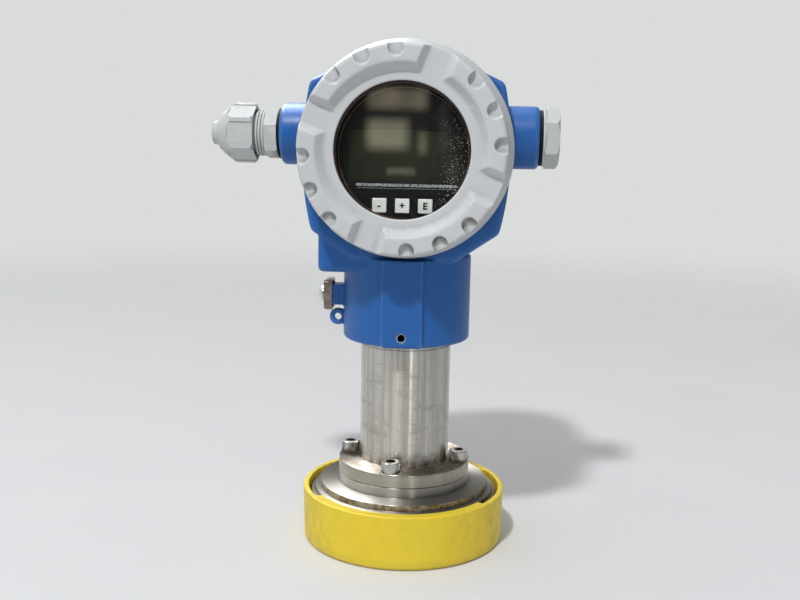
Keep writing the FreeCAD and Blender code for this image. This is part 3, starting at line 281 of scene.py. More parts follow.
tube_colour = add(stainless, "Mix", {0: wipe_share, 6: tool_colour, 7: "#87837a"}, data_type="RGBA")
off_tube = add(stainless, "MapRange", {0: radius, 1: 28 * MM, 2: 31 * MM, 3: 0.0, 4: 0.42})
joint_colour = add(stainless, "Mix", {0: off_tube, 6: tube_colour, 7: "#57544d"}, data_type="RGBA")
geometry = add(stainless, "NewGeometry", {})
upright = add(stainless, "SeparateXYZ", {"Vector": geometry.outputs["Normal"]})
# Upward faces painted darker: painted shade.
upward_shade = add(stainless, "MapRange", {0: upright.outputs["Z"], 1: 0.6, 2: 0.9, 3: 0.0, 4: 0.75})
upward_shaded_colour = add(stainless, "Mix", {0: upward_shade, 6: joint_colour, 7: "#7c7971"}, data_type="RGBA")
# Dirt and painted shade in the corners.
steel_colour = dirt_and_shade_in_corners(
    stainless, upward_shaded_colour, "#3d352a", reach=2, deep=0.4, shallow=0.85, share=0.85)
near_foot = add(stainless, "MapRange", {
    0: part_xyz.outputs["Z"], 1: 47 * MM, 2: 55 * MM, 3: 0.8, 4: 0.0})
on_joint = add(stainless, "MapRange", {
    0: part_xyz.outputs["Z"], 1: 44.5 * MM, 2: 45.6 * MM, 3: 0.05, 4: 1.0})
foot = add(stainless, "Math", {0: near_foot, 1: on_joint}, operation="MULTIPLY")
far_out = add(stainless, "MapRange", {0: radius, 1: 45.5 * MM, 2: 46.8 * MM})
on_side = add(stainless, "MapRange", {0: upright.outputs["Z"], 1: 0.5, 2: 0.8, 3: 1.0, 4: 0.15})
disc_edge = add(stainless, "Math", {0: far_out, 1: on_side}, operation="MULTIPLY")
soiled_and_shaded = add(stainless, "Math", {0: foot, 1: disc_edge}, operation="MAXIMUM")
film = add(stainless, "MapRange", {0: smear, 1: 0.44, 2: 0.6})
stain = add(stainless, "Math", {0: soiled_and_shaded, 1: film}, operation="MULTIPLY")
stained = add(stainless, "Mix", {0: stain, 6: steel_colour, 7: "#6e5a3d"}, data_type="RGBA")
dull = add(stainless, "MapRange", {0: wiped, 1: 0.3, 2: 0.7, 3: 0.24, 4: 0.4})
face_dull = add(stainless, "MapRange", {0: upright.outputs["Z"], 1: 0.6, 2: 0.9, 3: 0.0, 4: 0.5})
matt = add(stainless, "Math", {0: dull, 1: face_dull}, operation="MAXIMUM")
marks = add(stainless, "MapRange", {0: scratch, 1: 0.70, 2: 0.78, 3: 0.0, 4: -0.6})
surface = add(stainless, "Math", {0: rings, 1: marks}, operation="ADD")
relief = add(stainless, "Bump", {"Height": surface, "Distance": 0.02 * MM, "Strength": 0.6})
around = add(stainless, "Tangent", {}, direction_type="RADIAL", axis="Z")
shader = add(stainless, "BsdfPrincipled", {
    "Base Color": stained, "Metallic": 1.0, "Roughness": matt,
    "Anisotropic": 0.9, "Anisotropic Rotation": 0.25, "Tangent": around,
    "Normal": relief})
add(stainless, "OutputMaterial", {"Surface": shader})
fit(flange, "sensor", "stainless", stainless, "process_flange")


# Measuring cell
# A ceramic disc on a rubber ring in the flange, a small board on it and a steel diaphragm below.
# They are hidden by the joint and stay as the frame has them.
def mottled(name, patch, detail, dark, light, inputs):
    """A finish whose colour wanders between two tones, in patches of a size in mm."""
    finish, place = new_finish(name)
    patches = add(finish, "TexNoise", {"Vector": place, "Scale": 1 / (patch * MM), "Detail": detail})
    colour = add(finish, "Mix", {0: patches, 6: dark, 7: light}, data_type="RGBA")
    shader = add(finish, "BsdfPrincipled", {"Base Color": colour, **inputs})
    add(finish, "OutputMaterial", {"Surface": shader})
    return finish


# Sintered alumina: off-white and finely specked.
ceramic = mottled("sintered_alumina", 0.8, 3.0, "#e3dfd2", "#f0ede4", {"Roughness": 0.45, "IOR": 1.76})

# Glass-fibre board: a faint weave under green lacquer.
fibre_board, place = new_finish("lacquered_glass_fibre_board")
weave = add(fibre_board, "TexChecker", {
    "Vector": place, "Scale": 1 / (0.6 * MM), "Color1": "#1f5a38", "Color2": "#27663f"})
shader = add(fibre_board, "BsdfPrincipled", {
    "Base Color": weave.outputs["Color"], "Roughness": 0.35, "Coat Weight": 0.5})
add(fibre_board, "OutputMaterial", {"Surface": shader})

# Black nitrile rubber: matt, with a fine bloom.
black_rubber = mottled("black_nitrile_rubber", 2, 5.0, "#0c0d0e", "#1a1c1d", {
    "Roughness": 0.62, "IOR": 1.52, "Specular IOR Level": 0.1})


def dress(finish, *names):
    """Gives frame nodes that stay in view their finish."""
    for name in names:
        nodes[name].data.materials.clear()
        nodes[name].data.materials.append(finish)


dress(ceramic, "measuring_cell")
dress(fibre_board, "sensor_board")
dress(black_rubber, "cell_seal", "neck_seal", "front_cover_seal", "rear_cover_seal")
dress(stainless, "process_diaphragm")


# Neck
# A turned stainless tube with the upper half of the bolted joint, and on top the spigot that the
# housing turns on. A narrow relief is cut under the collar.
tube = turned("neck_turning", [
    (21.5, 38.3, 0), (36.3, 38.3, 0), (36.65, 38.6, 0), (36.65, 45.7, 0.5), (24.8, 45.7, 0.6),
    (24.8, 111.0, 0.15), (24.5, 111.0, 0), (24.5, 114.0, 0), (24.3, 114.0, 0), (24.3, 125.0, 0),
    (21.82, 125.0, 0), (21.82, 128.0, 0), (24.3, 128.0, 0), (24.3, 139.0, 0.6), (21.5, 139.0, 0)],
    closed=True, steps=TURNING_STEPS)
smooth(tube)
fit(tube, "sensor", "stainless", stainless, "neck")


# Flange screws
# Four stainless socket-head cap screws, M6, that hold the joint together. The heads are knurled and
# have a hexagon socket.
JOINT_TOP, BOLT_CIRCLE_R, BOLT_TURN = 45.7, 31.4, -8.5
HEAD_R, HEAD_HEIGHT, SHANK_R, SHANK_LENGTH = 5.0, 6.0, 3.0, 15.0
SOCKET_FLATS, SOCKET_DEPTH = 5.0, 3.5
KNURLS, KNURL_LAND, KNURL_DEPTH = 60, 0.07, 0.13


def prism(name, sides, corner_r, bottom, top):
    """A straight prism about Z with its first corner towards +Y."""
    bpy.ops.object.select_all(action="DESELECT")
    bpy.ops.mesh.primitive_cylinder_add(
        vertices=sides, radius=corner_r * MM, depth=(top - bottom) * MM,
        location=(0, 0, (top + bottom) / 2 * MM))
    piece = bpy.context.object
    piece.name = piece.data.name = name
    bpy.ops.object.transform_apply(location=True, rotation=True, scale=True)
    return piece


def cut(piece, tool, operation="DIFFERENCE", solver="EXACT"):
    """Cuts a piece with a tool, or joins or crosses them, and removes the tool."""
    modify(piece, "BOOLEAN", operation=operation, object=tool, solver=solver)
    bpy.data.objects.remove(tool)


def copy_of(piece, name):
    """A second piece with its own mesh."""
    twin = bpy.data.objects.new(name, piece.data.copy())
    bpy.context.scene.collection.objects.link(twin)
    return twin


def joined(name, pieces):
    """Several meshes joined as one piece."""
    bpy.ops.object.select_all(action="DESELECT")
    for piece in pieces:
        piece.select_set(True)
    bpy.context.view_layer.objects.active = pieces[0]
    bpy.ops.object.join()
    pieces[0].name = pieces[0].data.name = name
    return pieces[0]


screw = prism("cap_screw", KNURLS, HEAD_R, 0, HEAD_HEIGHT)
pick(screw, "FACE", lambda middle, facing: facing.z < -0.9)
bpy.ops.mesh.inset(thickness=(HEAD_R - SHANK_R) * MM)
bpy.ops.mesh.extrude_region_move(TRANSFORM_OT_translate={"value": (0, 0, -SHANK_LENGTH * MM)})
pick(screw, "EDGE", lambda middle, along: middle.z > HEAD_HEIGHT - 0.01)
bpy.ops.mesh.bevel(offset=0.6 * MM, segments=3)
pick(screw, "FACE", lambda middle, facing: abs(facing.z) < 0.1 and 0 < middle.z < HEAD_HEIGHT)
bpy.ops.mesh.inset(thickness=KNURL_LAND * MM, depth=-KNURL_DEPTH * MM, use_individual=True)
bpy.ops.object.mode_set(mode="OBJECT")
cut(screw, prism(
    "hexagon_key", 6, SOCKET_FLATS / math.sqrt(3), HEAD_HEIGHT - SOCKET_DEPTH, HEAD_HEIGHT + 1))
screws = []
for count in range(4):
    angle = math.radians(BOLT_TURN + 90 * count)
    copy = copy_of(screw, "cap_screw_%d" % count)
    spot = Vector((math.sin(angle) * BOLT_CIRCLE_R, -math.cos(angle) * BOLT_CIRCLE_R, JOINT_TOP)) * MM
    copy.data.transform(Matrix.Translation(spot) @ Matrix.Rotation(angle + 0.3 * count, 4, "Z"))
    screws.append(copy)
bpy.data.objects.remove(screw)
cap_screws = joined("flange_cap_screws", screws)
smooth(cap_screws, 25)

# Cold-headed stainless: bright, with dull spots from handling, and black dirt and painted shade in the
# sockets.
screw_steel, place = new_finish("cold_headed_stainless_steel")
handled = add(screw_steel, "TexNoise", {"Vector": place, "Scale": 1 / (2.5 * MM), "Detail": 5.0})
colour = add(screw_steel, "Mix", {0: handled, 6: "#b2b0aa", 7: "#ebe9e4"}, data_type="RGBA")
soiled_and_shaded = dirt_and_shade_in_corners(screw_steel, colour, "#16120e", reach=2.5, deep=0.35, shallow=0.8, share=0.95)
dull = add(screw_steel, "MapRange", {0: handled, 1: 0.3, 2: 0.7, 3: 0.12, 4: 0.24})
shader = add(screw_steel, "BsdfPrincipled", {"Base Color": soiled_and_shaded, "Metallic": 1.0, "Roughness": dull})
add(screw_steel, "OutputMaterial", {"Surface": shader})
fit(cap_screws, "sensor", "screw_steel", screw_steel, "flange_screws")


# Housing
# A die-cast aluminium case with two compartments, threaded necks, cable bosses, a collar and its
# lugs, all one casting. The paint rounds every edge, so the mesh is remade from the frame's and eased.
def painted(casting, voxel, rounds, most_triangles):
    """Remakes a casting's mesh with its edges eased, as paint does, from voxels of a size in mm."""
    modify(casting, "REMESH", mode="VOXEL", voxel_size=voxel * MM)
    modify(casting, "SMOOTH", factor=0.5, iterations=rounds)
    modify(casting, "DECIMATE", ratio=min(1.0, most_triangles / (2 * len(casting.data.polygons))))
    bpy.ops.object.shade_smooth()


case = copy_of(nodes["housing"], "housing_casting")
case.parent = None
work_on(case)
bpy.ops.object.mode_set(mode="EDIT")
bpy.ops.mesh.select_all(action="SELECT")
bpy.ops.mesh.remove_doubles(threshold=0.001 * MM)
bpy.ops.object.mode_set(mode="OBJECT")
painted(case, voxel=0.7, rounds=4, most_triangles=180000)


def worn_and_highlit_edges(finish, colour, knocks, rub_and_highlight_to, rub_and_highlight, rub_and_highlight_tone, chip_from, chips, chip_tone):
    """A coat's colour with its edges made paler, as rubbed paint and painted highlight, and chipped where
    the pattern of knocks is strong.
    """
    edges = add(finish, "NewGeometry", {}).outputs["Pointiness"]
    # Convex edges made paler: rubbed paint and painted highlight.
    rubbed_and_highlit = add(finish, "MapRange", {0: edges, 1: 0.51, 2: rub_and_highlight_to, 3: 0.0, 4: rub_and_highlight})
    worn = add(finish, "Mix", {0: rubbed_and_highlit, 6: colour, 7: rub_and_highlight_tone}, data_type="RGBA")
    edge = add(finish, "MapRange", {0: edges, 1: 0.54, 2: 0.60})
    chance = add(finish, "MapRange", {0: knocks, 1: chip_from, 2: chip_from + 0.04, 3: 0.0, 4: chips})
    chip = add(finish, "Math", {0: edge, 1: chance}, operation="MULTIPLY")
    return add(finish, "Mix", {0: chip, 6: worn, 7: chip_tone}, data_type="RGBA")


# Blue powder coat on cast aluminium: a slight orange peel, satin gloss, corners painted darker as
# painted shade, edges made paler as rubbed paint and painted highlight, and pale chips where they
# were knocked.
blue_coat, place = new_finish("blue_powder_coat")
peel = add(blue_coat, "TexNoise", {"Vector": place, "Scale": 1 / (1.3 * MM), "Detail": 2.0})
cloud = add(blue_coat, "TexNoise", {"Vector": place, "Scale": 1 / (18 * MM), "Detail": 5.0})
knock = add(blue_coat, "TexNoise", {
    "Vector": place, "Scale": 1 / (3.2 * MM), "Detail": 6.0, "Roughness": 0.7})
coat_colour = add(blue_coat, "Mix", {0: cloud, 6: "#1c579d", 7: "#2562a8"}, data_type="RGBA")
# Corners painted darker: painted shade.
soiled_and_shaded = dirt_and_shade_in_corners(blue_coat, coat_colour, "#16345e", reach=6, deep=0.35, shallow=0.85, share=0.25)
chipped = worn_and_highlit_edges(blue_coat, soiled_and_shaded, knock, rub_and_highlight_to=0.58, rub_and_highlight=0.45, rub_and_highlight_tone="#78aae2",
                     chip_from=0.62, chips=1.0, chip_tone="#c4c4be")
gloss = add(blue_coat, "MapRange", {0: knock, 1: 0.3, 2: 0.7, 3: 0.32, 4: 0.44})
relief = add(blue_coat, "Bump", {"Height": peel, "Distance": 0.06 * MM})
shader = add(blue_coat, "BsdfPrincipled", {
    "Base Color": chipped, "Roughness": gloss, "IOR": 1.5,
    "Specular IOR Level": 0.35, "Normal": relief})
add(blue_coat, "OutputMaterial", {"Surface": shader})
fit(case, "housing", "blue_paint", blue_coat, "housing")


# Ground terminal and set screw
# A bent stainless clamp with side cheeks, held by a pan-head screw on a pad of the collar, for the
# earth wire, and a grub screw that locks the housing on the neck, in a hole with a bare edge.
CLAMP_SEAT, CLAMP_Z, CLAMP_SHEET, CLAMP_WIDTH, CLAMP_HEIGHT = -44.3, 137.2, 1.4, 9.6, 16.9
HOOK_FROM, HOOK_REACH, HOOK_BEND = 7.05, 3.2, 1.2
CHEEK_SIZE, CHEEK_IN, CHEEK_ASIDE = (4.7, 0.7, 14.6), 0.95, 5.35
STRIP_FACE, GRUB_Z, SLOT_TURN = -36.0, 120.0, 0.25


def block(name, size, middle, turn=0.0):
    """A plain block to shape or to cut with, its size and middle in mm, turned about Z."""
    bpy.ops.object.select_all(action="DESELECT")
    bpy.ops.mesh.primitive_cube_add(
        size=1.0, location=[value * MM for value in middle], rotation=(0, 0, turn))
    piece = bpy.context.object
    piece.name = piece.data.name = name
    piece.scale = [value * MM for value in size]
    bpy.ops.object.transform_apply(location=True, rotation=True, scale=True)
    return piece


def bar(name, size, middle, edge):
    """A small bar with rounded edges, all in mm."""
    piece = block(name, size, middle)
    bpy.ops.object.mode_set(mode="EDIT")
    bpy.ops.mesh.select_all(action="SELECT")
    bpy.ops.mesh.bevel(offset=edge * MM, segments=4)
    bpy.ops.object.mode_set(mode="OBJECT")
    smooth(piece)
    return piece


clamp = block("clamp_plate", (CLAMP_SHEET, CLAMP_WIDTH, CLAMP_HEIGHT),
              (CLAMP_SEAT - CLAMP_SHEET / 2, 0, CLAMP_Z))
bpy.ops.object.mode_set(mode="EDIT")
for level in (CLAMP_Z - HOOK_FROM, CLAMP_Z + HOOK_FROM):
    bpy.ops.mesh.select_all(action="SELECT")
    bpy.ops.mesh.bisect(plane_co=(0, 0, level * MM), plane_no=(0, 0, 1))
pick(clamp, "FACE", lambda middle, facing: facing.x > 0.9 and abs(middle.z - CLAMP_Z) > HOOK_FROM)
bpy.ops.mesh.extrude_region_move(TRANSFORM_OT_translate={"value": (HOOK_REACH * MM, 0, 0)})
pick(clamp, "EDGE", lambda middle, along: abs(along.y) > 0.9 and middle.x < CLAMP_SEAT - 1
     and abs(middle.z - CLAMP_Z) > 8)
bpy.ops.mesh.bevel(offset=HOOK_BEND * MM, segments=5)
bpy.ops.object.mode_set(mode="OBJECT")
ease(clamp, 0.25, 50)
smooth(clamp)
clamp = joined("ground_clamp_plate", [clamp] + [
    bar("clamp_cheek", CHEEK_SIZE, (CLAMP_SEAT + CHEEK_IN, side * CHEEK_ASIDE, CLAMP_Z), 0.2)
    for side in (-1, 1)])
FRONT = Matrix(((1, 0, 0, 0), (0, 0, -1, 0), (0, 1, 0, 0), (0, 0, 0, 1)))
LEFT = Matrix(((0, 0, -1, 0), (-1, 0, 0, 0), (0, 1, 0, 0), (0, 0, 0, 1)))


def seat(piece, facing, x, y, z):
    """Turns a piece built about Z to face its side, and moves it to its place in mm, in its mesh."""
    piece.data.transform(Matrix.Translation(Vector((x, y, z)) * MM) @ facing)


pan = turned("ground_pan_screw", [
    (0, -9.4, 0), (2.0, -9.4, 0.4), (2.0, 0, 0), (4.2, 0, 0.2), (4.2, 1.7, 0.8), (2.4, 3.2, 1.2),
    (0, 3.2, 0)], steps=48)
for turn in (SLOT_TURN, SLOT_TURN + math.pi / 2):
    cut(pan, block("driver_blade", (5.2, 1.1, 3.0), (0, 0, 3.2), turn))
smooth(pan)
seat(pan, LEFT, CLAMP_SEAT - CLAMP_SHEET, 0, CLAMP_Z)

# Rolled stainless sheet, brown from weather.
weathered_sheet, place = new_finish("weathered_rolled_stainless_sheet")
tarnish = add(weathered_sheet, "TexNoise", {"Vector": place, "Scale": 1 / (4 * MM), "Detail": 6.0})
colour = add(weathered_sheet, "Mix", {0: tarnish, 6: "#6d5f55", 7: "#a79f97"}, data_type="RGBA")
dull = add(weathered_sheet, "MapRange", {0: tarnish, 1: 0.3, 2: 0.7, 3: 0.2, 4: 0.42})
shader = add(weathered_sheet, "BsdfPrincipled", {
    "Base Color": colour, "Metallic": 1.0, "Roughness": dull})
add(weathered_sheet, "OutputMaterial", {"Surface": shader})
fit(clamp, "housing", "screw_steel", weathered_sheet, "ground_clamp")
fit(pan, "housing", "screw_steel", screw_steel, "ground_screw")

# Blackened steel of the grub screw: dark and dull.
black_steel = mottled("blackened_steel", 1, 3.0, "#0b0b0b", "#1d1b1a", {
    "Metallic": 1.0, "Roughness": 0.5})
dress(black_steel, "housing_set_screw")
hole_edge = turned("set_screw_hole_edge", [
    (2.05, -1.0, 0), (2.05, -0.15, 0), (2.25, 0.04, 0.05), (2.4, 0.04, 0.05), (2.5, -0.2, 0)], steps=48)
smooth(hole_edge)
seat(hole_edge, FRONT, 0, STRIP_FACE, GRUB_Z)
fit(hole_edge, "housing", "screw_steel", screw_steel)


# Covers
# Two cast aluminium screw covers: a conical dish, four wrench grooves, and three scallops between
# each pair of grooves for grip. The front one is bored for the window, the rear one is closed.
COVER_Z, COVER_TURN, COVER_STEPS = 217.5, 69.0, 120
COVER_R, COVER_FRONT, DISH_FLOOR = 52.2, 57.0, 52.8
GROOVE_HALF, GROOVE_SLOPE = 5.4, 3.6
SCALLOP_R, SCALLOP_AT, SCALLOP_FLOOR, SCALLOP_TAPER, PAST_RIM = 4.2, 49.2, 54.0, 0.86, 12.0
REAR = Matrix(((-1, 0, 0, 0), (0, 0, 1, 0), (0, 1, 0, 0), (0, 0, 0, 1)))
skirt = [
    (46.0, 43.4, 0), (46.0, 33.0, 0), (48.7, 33.0, 0), (48.7, 30.6, 0), (55.6, 30.6, 0.7),
    (55.6, 34.2, 0.8), (COVER_R, 43.2, 3.0), (COVER_R, COVER_FRONT, 2.2), (43.0, COVER_FRONT, 0.9),
    (38.9, DISH_FLOOR, 0.8)]


def groove_tool():
    """The tool of one wrench groove, which runs along +X from the dish to past the rim."""
    middle_x, height = 50, 10
    tool = block("groove_tool", (60, 2 * GROOVE_HALF, height), (middle_x, 0, DISH_FLOOR + height / 2))
    pick(tool, "FACE", lambda middle, facing: facing.z > 0.9)
    spread = 1 + GROOVE_SLOPE / GROOVE_HALF * height / (COVER_FRONT - DISH_FLOOR)
    bpy.ops.transform.resize(value=(1, spread, 1), center_override=(middle_x * MM, 0, 0))
    bpy.ops.object.mode_set(mode="OBJECT")
    return tool


def scallop_tool():
    """The tool of one scallop: a round nose that runs out past the rim, narrower at its floor."""
    tool = prism("scallop_tool", 32, SCALLOP_R, SCALLOP_FLOOR, SCALLOP_FLOOR + 6)
    pick(tool, "FACE", lambda middle, facing: facing.z < -0.9)
    bpy.ops.transform.resize(value=(SCALLOP_TAPER, SCALLOP_TAPER, 1), center_override=(0, 0, 0))
    pick(tool, "VERT", lambda middle, facing: middle.x > 0.01)
    bpy.ops.transform.translate(value=(PAST_RIM * MM, 0, 0))
    pick(tool, "VERT", lambda middle, facing: True)
    bpy.ops.transform.translate(value=(SCALLOP_AT * MM, 0, 0))
    bpy.ops.object.mode_set(mode="OBJECT")
    return tool


tools = []
for quarter in range(4):
    for turn, make in ((0, groove_tool), (25, scallop_tool), (45, scallop_tool), (65, scallop_tool)):
        tool = make()
        tool.data.transform(Matrix.Rotation(math.radians(90 * quarter + turn), 4, "Z"))
        tools.append(tool)
cutters = joined("cover_cutters", tools)
front_cover = turned("front_cover_casting", skirt + [
    (34.0, DISH_FLOOR, 0.5), (34.0, 51.2, 0), (40.4, 51.2, 0), (40.4, 43.4, 0)],
    closed=True, steps=COVER_STEPS)
rear_cover = turned("rear_cover_casting", [(0, 50.2, 0), (40.2, 50.2, 0), (40.2, 43.4, 0)] + skirt + [
    (0, DISH_FLOOR, 0)], steps=COVER_STEPS)
rear_cutters = copy_of(cutters, "rear_cover_cutters")

# This solver orders its faces alike in each run, so the remade meshes come out alike too.
for cover, tool, facing in ((front_cover, cutters, FRONT), (rear_cover, rear_cutters, REAR)):
    cut(cover, tool, solver="MANIFOLD")
    painted(cover, voxel=0.4, rounds=3, most_triangles=150000)
    seat(cover, facing @ Matrix.Rotation(math.radians(COVER_TURN), 4, "Z"), 0, 0, COVER_Z)

# Light grey powder coat on cast aluminium: fine orange peel, brown dirt and painted shade in the
# scallops and along the dish, most of it low down, edges made paler as rubbed paint and painted
# highlight, and a few chips down to the primer.
grey_coat, place = new_finish("light_grey_powder_coat")
peel = add(grey_coat, "TexNoise", {"Vector": place, "Scale": 1 / (1.1 * MM), "Detail": 2.0})
cloud = add(grey_coat, "TexNoise", {"Vector": place, "Scale": 1 / (16 * MM), "Detail": 5.0})
grime = add(grey_coat, "TexNoise", {
    "Vector": place, "Scale": 1 / (4 * MM), "Detail": 8.0, "Roughness": 0.7})
# Brown where faces meet, in patches and mostly low down: dirt and painted shade.
corner = add(grey_coat, "AmbientOcclusion", {"Distance": 3 * MM}, samples=6)
coat_colour = add(grey_coat, "Mix", {0: cloud, 6: "#bec1c3", 7: "#c9cccd"}, data_type="RGBA")
nook = add(grey_coat, "MapRange", {0: corner.outputs["AO"], 1: 0.7, 2: 0.97, 3: 1.0, 4: 0.0})
patch = add(grey_coat, "MapRange", {0: grime, 1: 0.4, 2: 0.58, 3: 0.15, 4: 1.0})
level = add(grey_coat, "SeparateXYZ", {"Vector": place})
sunk = add(grey_coat, "MapRange", {0: level.outputs["Z"], 1: 175 * MM, 2: 235 * MM, 3: 1.0, 4: 0.3})
caught_and_shaded = add(grey_coat, "Math", {0: nook, 1: patch}, operation="MULTIPLY")
dirt_and_shade = add(grey_coat, "Math", {0: caught_and_shaded, 1: sunk}, operation="MULTIPLY")
soiled_and_shaded = add(grey_coat, "Mix", {0: dirt_and_shade, 6: coat_colour, 7: "#5d5245"}, data_type="RGBA")
chipped = worn_and_highlit_edges(grey_coat, soiled_and_shaded, grime, rub_and_highlight_to=0.57, rub_and_highlight=0.6, rub_and_highlight_tone="#e4e6e6",
                     chip_from=0.66, chips=0.8, chip_tone="#83796d")
gloss = add(grey_coat, "MapRange", {0: grime, 1: 0.3, 2: 0.7, 3: 0.34, 4: 0.5})
relief = add(grey_coat, "Bump", {"Height": peel, "Distance": 0.06 * MM})
shader = add(grey_coat, "BsdfPrincipled", {
    "Base Color": chipped, "Roughness": gloss, "IOR": 1.5,
    "Specular IOR Level": 0.25, "Normal": relief})
add(grey_coat, "OutputMaterial", {"Surface": shader})
fit(front_cover, "front_cover", "grey_paint", grey_coat, "front_cover")
fit(rear_cover, "rear_cover", "grey_paint", grey_coat, "rear_cover")


# Sight glass
# A thick toughened pane that lies on a brown rubber seal behind the window's lip, and is held from
# behind by a screwed ring. The soft seal and the bead behind the pane have sagged a little.
SEAL_ASIDE, SEAL_SAG, BEAD_ASIDE, BEAD_SAG = 0.2, 0.6, 0.4, 1.6
seal = turned("window_seal", [
    (33.1, 50.25, 0.15), (33.1, 50.6, 0.2), (33.6, 51.15, 0.25), (39.6, 51.15, 0), (39.6, 50.2, 0),
    (34.4, 50.2, 0)], closed=True, steps=TURNING_STEPS)
smooth(seal)
seat(seal, FRONT, SEAL_ASIDE, 0, COVER_Z - SEAL_SAG)
pane = turned("sight_pane", [
    (0, 45.8, 0), (39.0, 45.8, 0), (40.2, 45.8, 0.5), (40.2, 50.2, 0.5), (39.0, 50.2, 0), (0, 50.2, 0)],
    steps=TURNING_STEPS)
smooth(pane)
seat(pane, FRONT, 0, 0, COVER_Z)

# Brown silicone rubber, made nearly black.
brown_rubber = mottled("brown_silicone_rubber", 6, 5.0, "#120b09", "#341a13", {
    "Roughness": 0.4, "IOR": 1.45})
fit(seal, "front_cover", "brown_rubber", brown_rubber, "glass_seal")
back_seal = turned("window_back_seal", [
    (32.35, 45.45, 0.05), (32.35, 45.75, 0.05), (32.65, 45.75, 0.05), (32.65, 45.45, 0.05)],
    closed=True, steps=TURNING_STEPS)
smooth(back_seal)
seat(back_seal, FRONT, BEAD_ASIDE, 0, COVER_Z - BEAD_SAG)

# Aged silicone bead behind the pane: brownish grey and dusty.
aged_silicone = mottled("aged_silicone_bead", 3, 5.0, "#4f382d", "#7a6251", {
    "Roughness": 0.5, "IOR": 1.45})
fit(back_seal, "front_cover", "brown_rubber", aged_silicone)

# Toughened glass: clear, with dust specks that gather low on the right. A speck's size is a share of
# the specks' spacing.
SPECK_SIZE = 0.42
toughened_glass, place = new_finish("toughened_glass")
where = add(toughened_glass, "SeparateXYZ", {"Vector": place})
specks = add(toughened_glass, "TexVoronoi", {"Vector": place, "Scale": 1 / (1.1 * MM)})
spread = add(toughened_glass, "TexNoise", {"Vector": place, "Scale": 1 / (9 * MM), "Detail": 3.0})
rightward = add(toughened_glass, "MapRange", {0: where.outputs["X"], 1: 5 * MM, 2: 32 * MM})
downward = add(toughened_glass, "MapRange", {
    0: where.outputs["Z"], 1: 185 * MM, 2: 235 * MM, 3: 1.0, 4: 0.5})
settled = add(toughened_glass, "Math", {0: rightward, 1: downward}, operation="MULTIPLY")
thick = add(toughened_glass, "Math", {0: settled, 1: spread}, operation="MULTIPLY")
size = add(toughened_glass, "Math", {0: thick, 1: SPECK_SIZE}, operation="MULTIPLY")
dust = add(toughened_glass, "Math", {0: specks.outputs["Distance"], 1: size}, operation="LESS_THAN")
clear = add(toughened_glass, "MapRange", {0: dust, 1: 0.0, 2: 1.0, 3: 1.0, 4: 0.15})
shader = add(toughened_glass, "BsdfPrincipled", {
    "Base Color": "#f4f6f4", "Roughness": 0.02, "IOR": 1.52,
    "Transmission Weight": clear})
path = add(toughened_glass, "LightPath", {})
open_way = add(toughened_glass, "BsdfTransparent", {"Color": "#f4f6f4"})
lets_lamps_in = add(toughened_glass, "MixShader", {
    0: path.outputs["Is Shadow Ray"], 1: shader, 2: open_way})
add(toughened_glass, "OutputMaterial", {"Surface": lets_lamps_in})
fit(pane, "front_cover", "sight_glass", toughened_glass, "sight_glass")
dress(grey_coat, "glass_ring")


# Display
# A black moulded module behind the glass, with a display cell let into its face, and behind it the
# electronics puck. The cell's ground lower edge shows as a pale line.
FACE_Y, CELL_BOTTOM, EDGE_X = -42.0, 201.6, 1.9

# Moulded black polycarbonate: satin, with fine dust.
black_polycarbonate, place = new_finish("moulded_black_polycarbonate")
specks = add(black_polycarbonate, "TexNoise", {"Vector": place, "Scale": 1 / (0.8 * MM), "Detail": 4.0})
fleck = add(black_polycarbonate, "MapRange", {0: specks, 1: 0.70, 2: 0.78, 3: 0.0, 4: 0.3})
colour = add(black_polycarbonate, "Mix", {0: fleck, 6: "#09090b", 7: "#4a4a45"}, data_type="RGBA")
shader = add(black_polycarbonate, "BsdfPrincipled", {
    "Base Color": colour, "Roughness": 0.5, "IOR": 1.58, "Specular IOR Level": 0.15})
add(black_polycarbonate, "OutputMaterial", {"Surface": shader})
dress(black_polycarbonate, "display_module", "electronics_module")

# Switched-off liquid crystal cell: olive polariser under glass, a little cloudy.
crystal_cell = mottled("liquid_crystal_cell", 22, 2.0, "#1f211b", "#2d2f27", {
    "Roughness": 0.06, "IOR": 1.5})
dress(crystal_cell, "lcd_panel")
cell_low, cell_high = ([value / MM for value in corner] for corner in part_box("lcd_panel"))
CELL_MID_X, CELL_MID_Z = (cell_low[0] + cell_high[0]) / 2, (cell_low[2] + cell_high[2]) / 2
CELL_WIDTH, CELL_HEIGHT, FRAME_EDGE = cell_high[0] - cell_low[0], cell_high[2] - cell_low[2], 0.6
display_frame = joined("display_frame", [
    bar("frame_level", (CELL_WIDTH + FRAME_EDGE, 0.5, FRAME_EDGE), (CELL_MID_X, cell_low[1], level), 0.1)
    for level in (cell_low[2], cell_high[2])] + [
    bar("frame_side", (FRAME_EDGE, 0.5, CELL_HEIGHT + FRAME_EDGE), (side, cell_low[1], CELL_MID_Z), 0.1)
    for side in (cell_low[0], cell_high[0])])
fit(display_frame, "housing", "black_plastic", black_polycarbonate)
ground_edge = joined("display_ground_edge", [
    bar("ground_edge", (51.0, 0.3, 1.4), (EDGE_X, FACE_Y, CELL_BOTTOM - 1.5), 0.1),
    bar("ground_line", (50.0, 0.2, 0.2), (EDGE_X, FACE_Y, CELL_BOTTOM - 3.1), 0.05)])

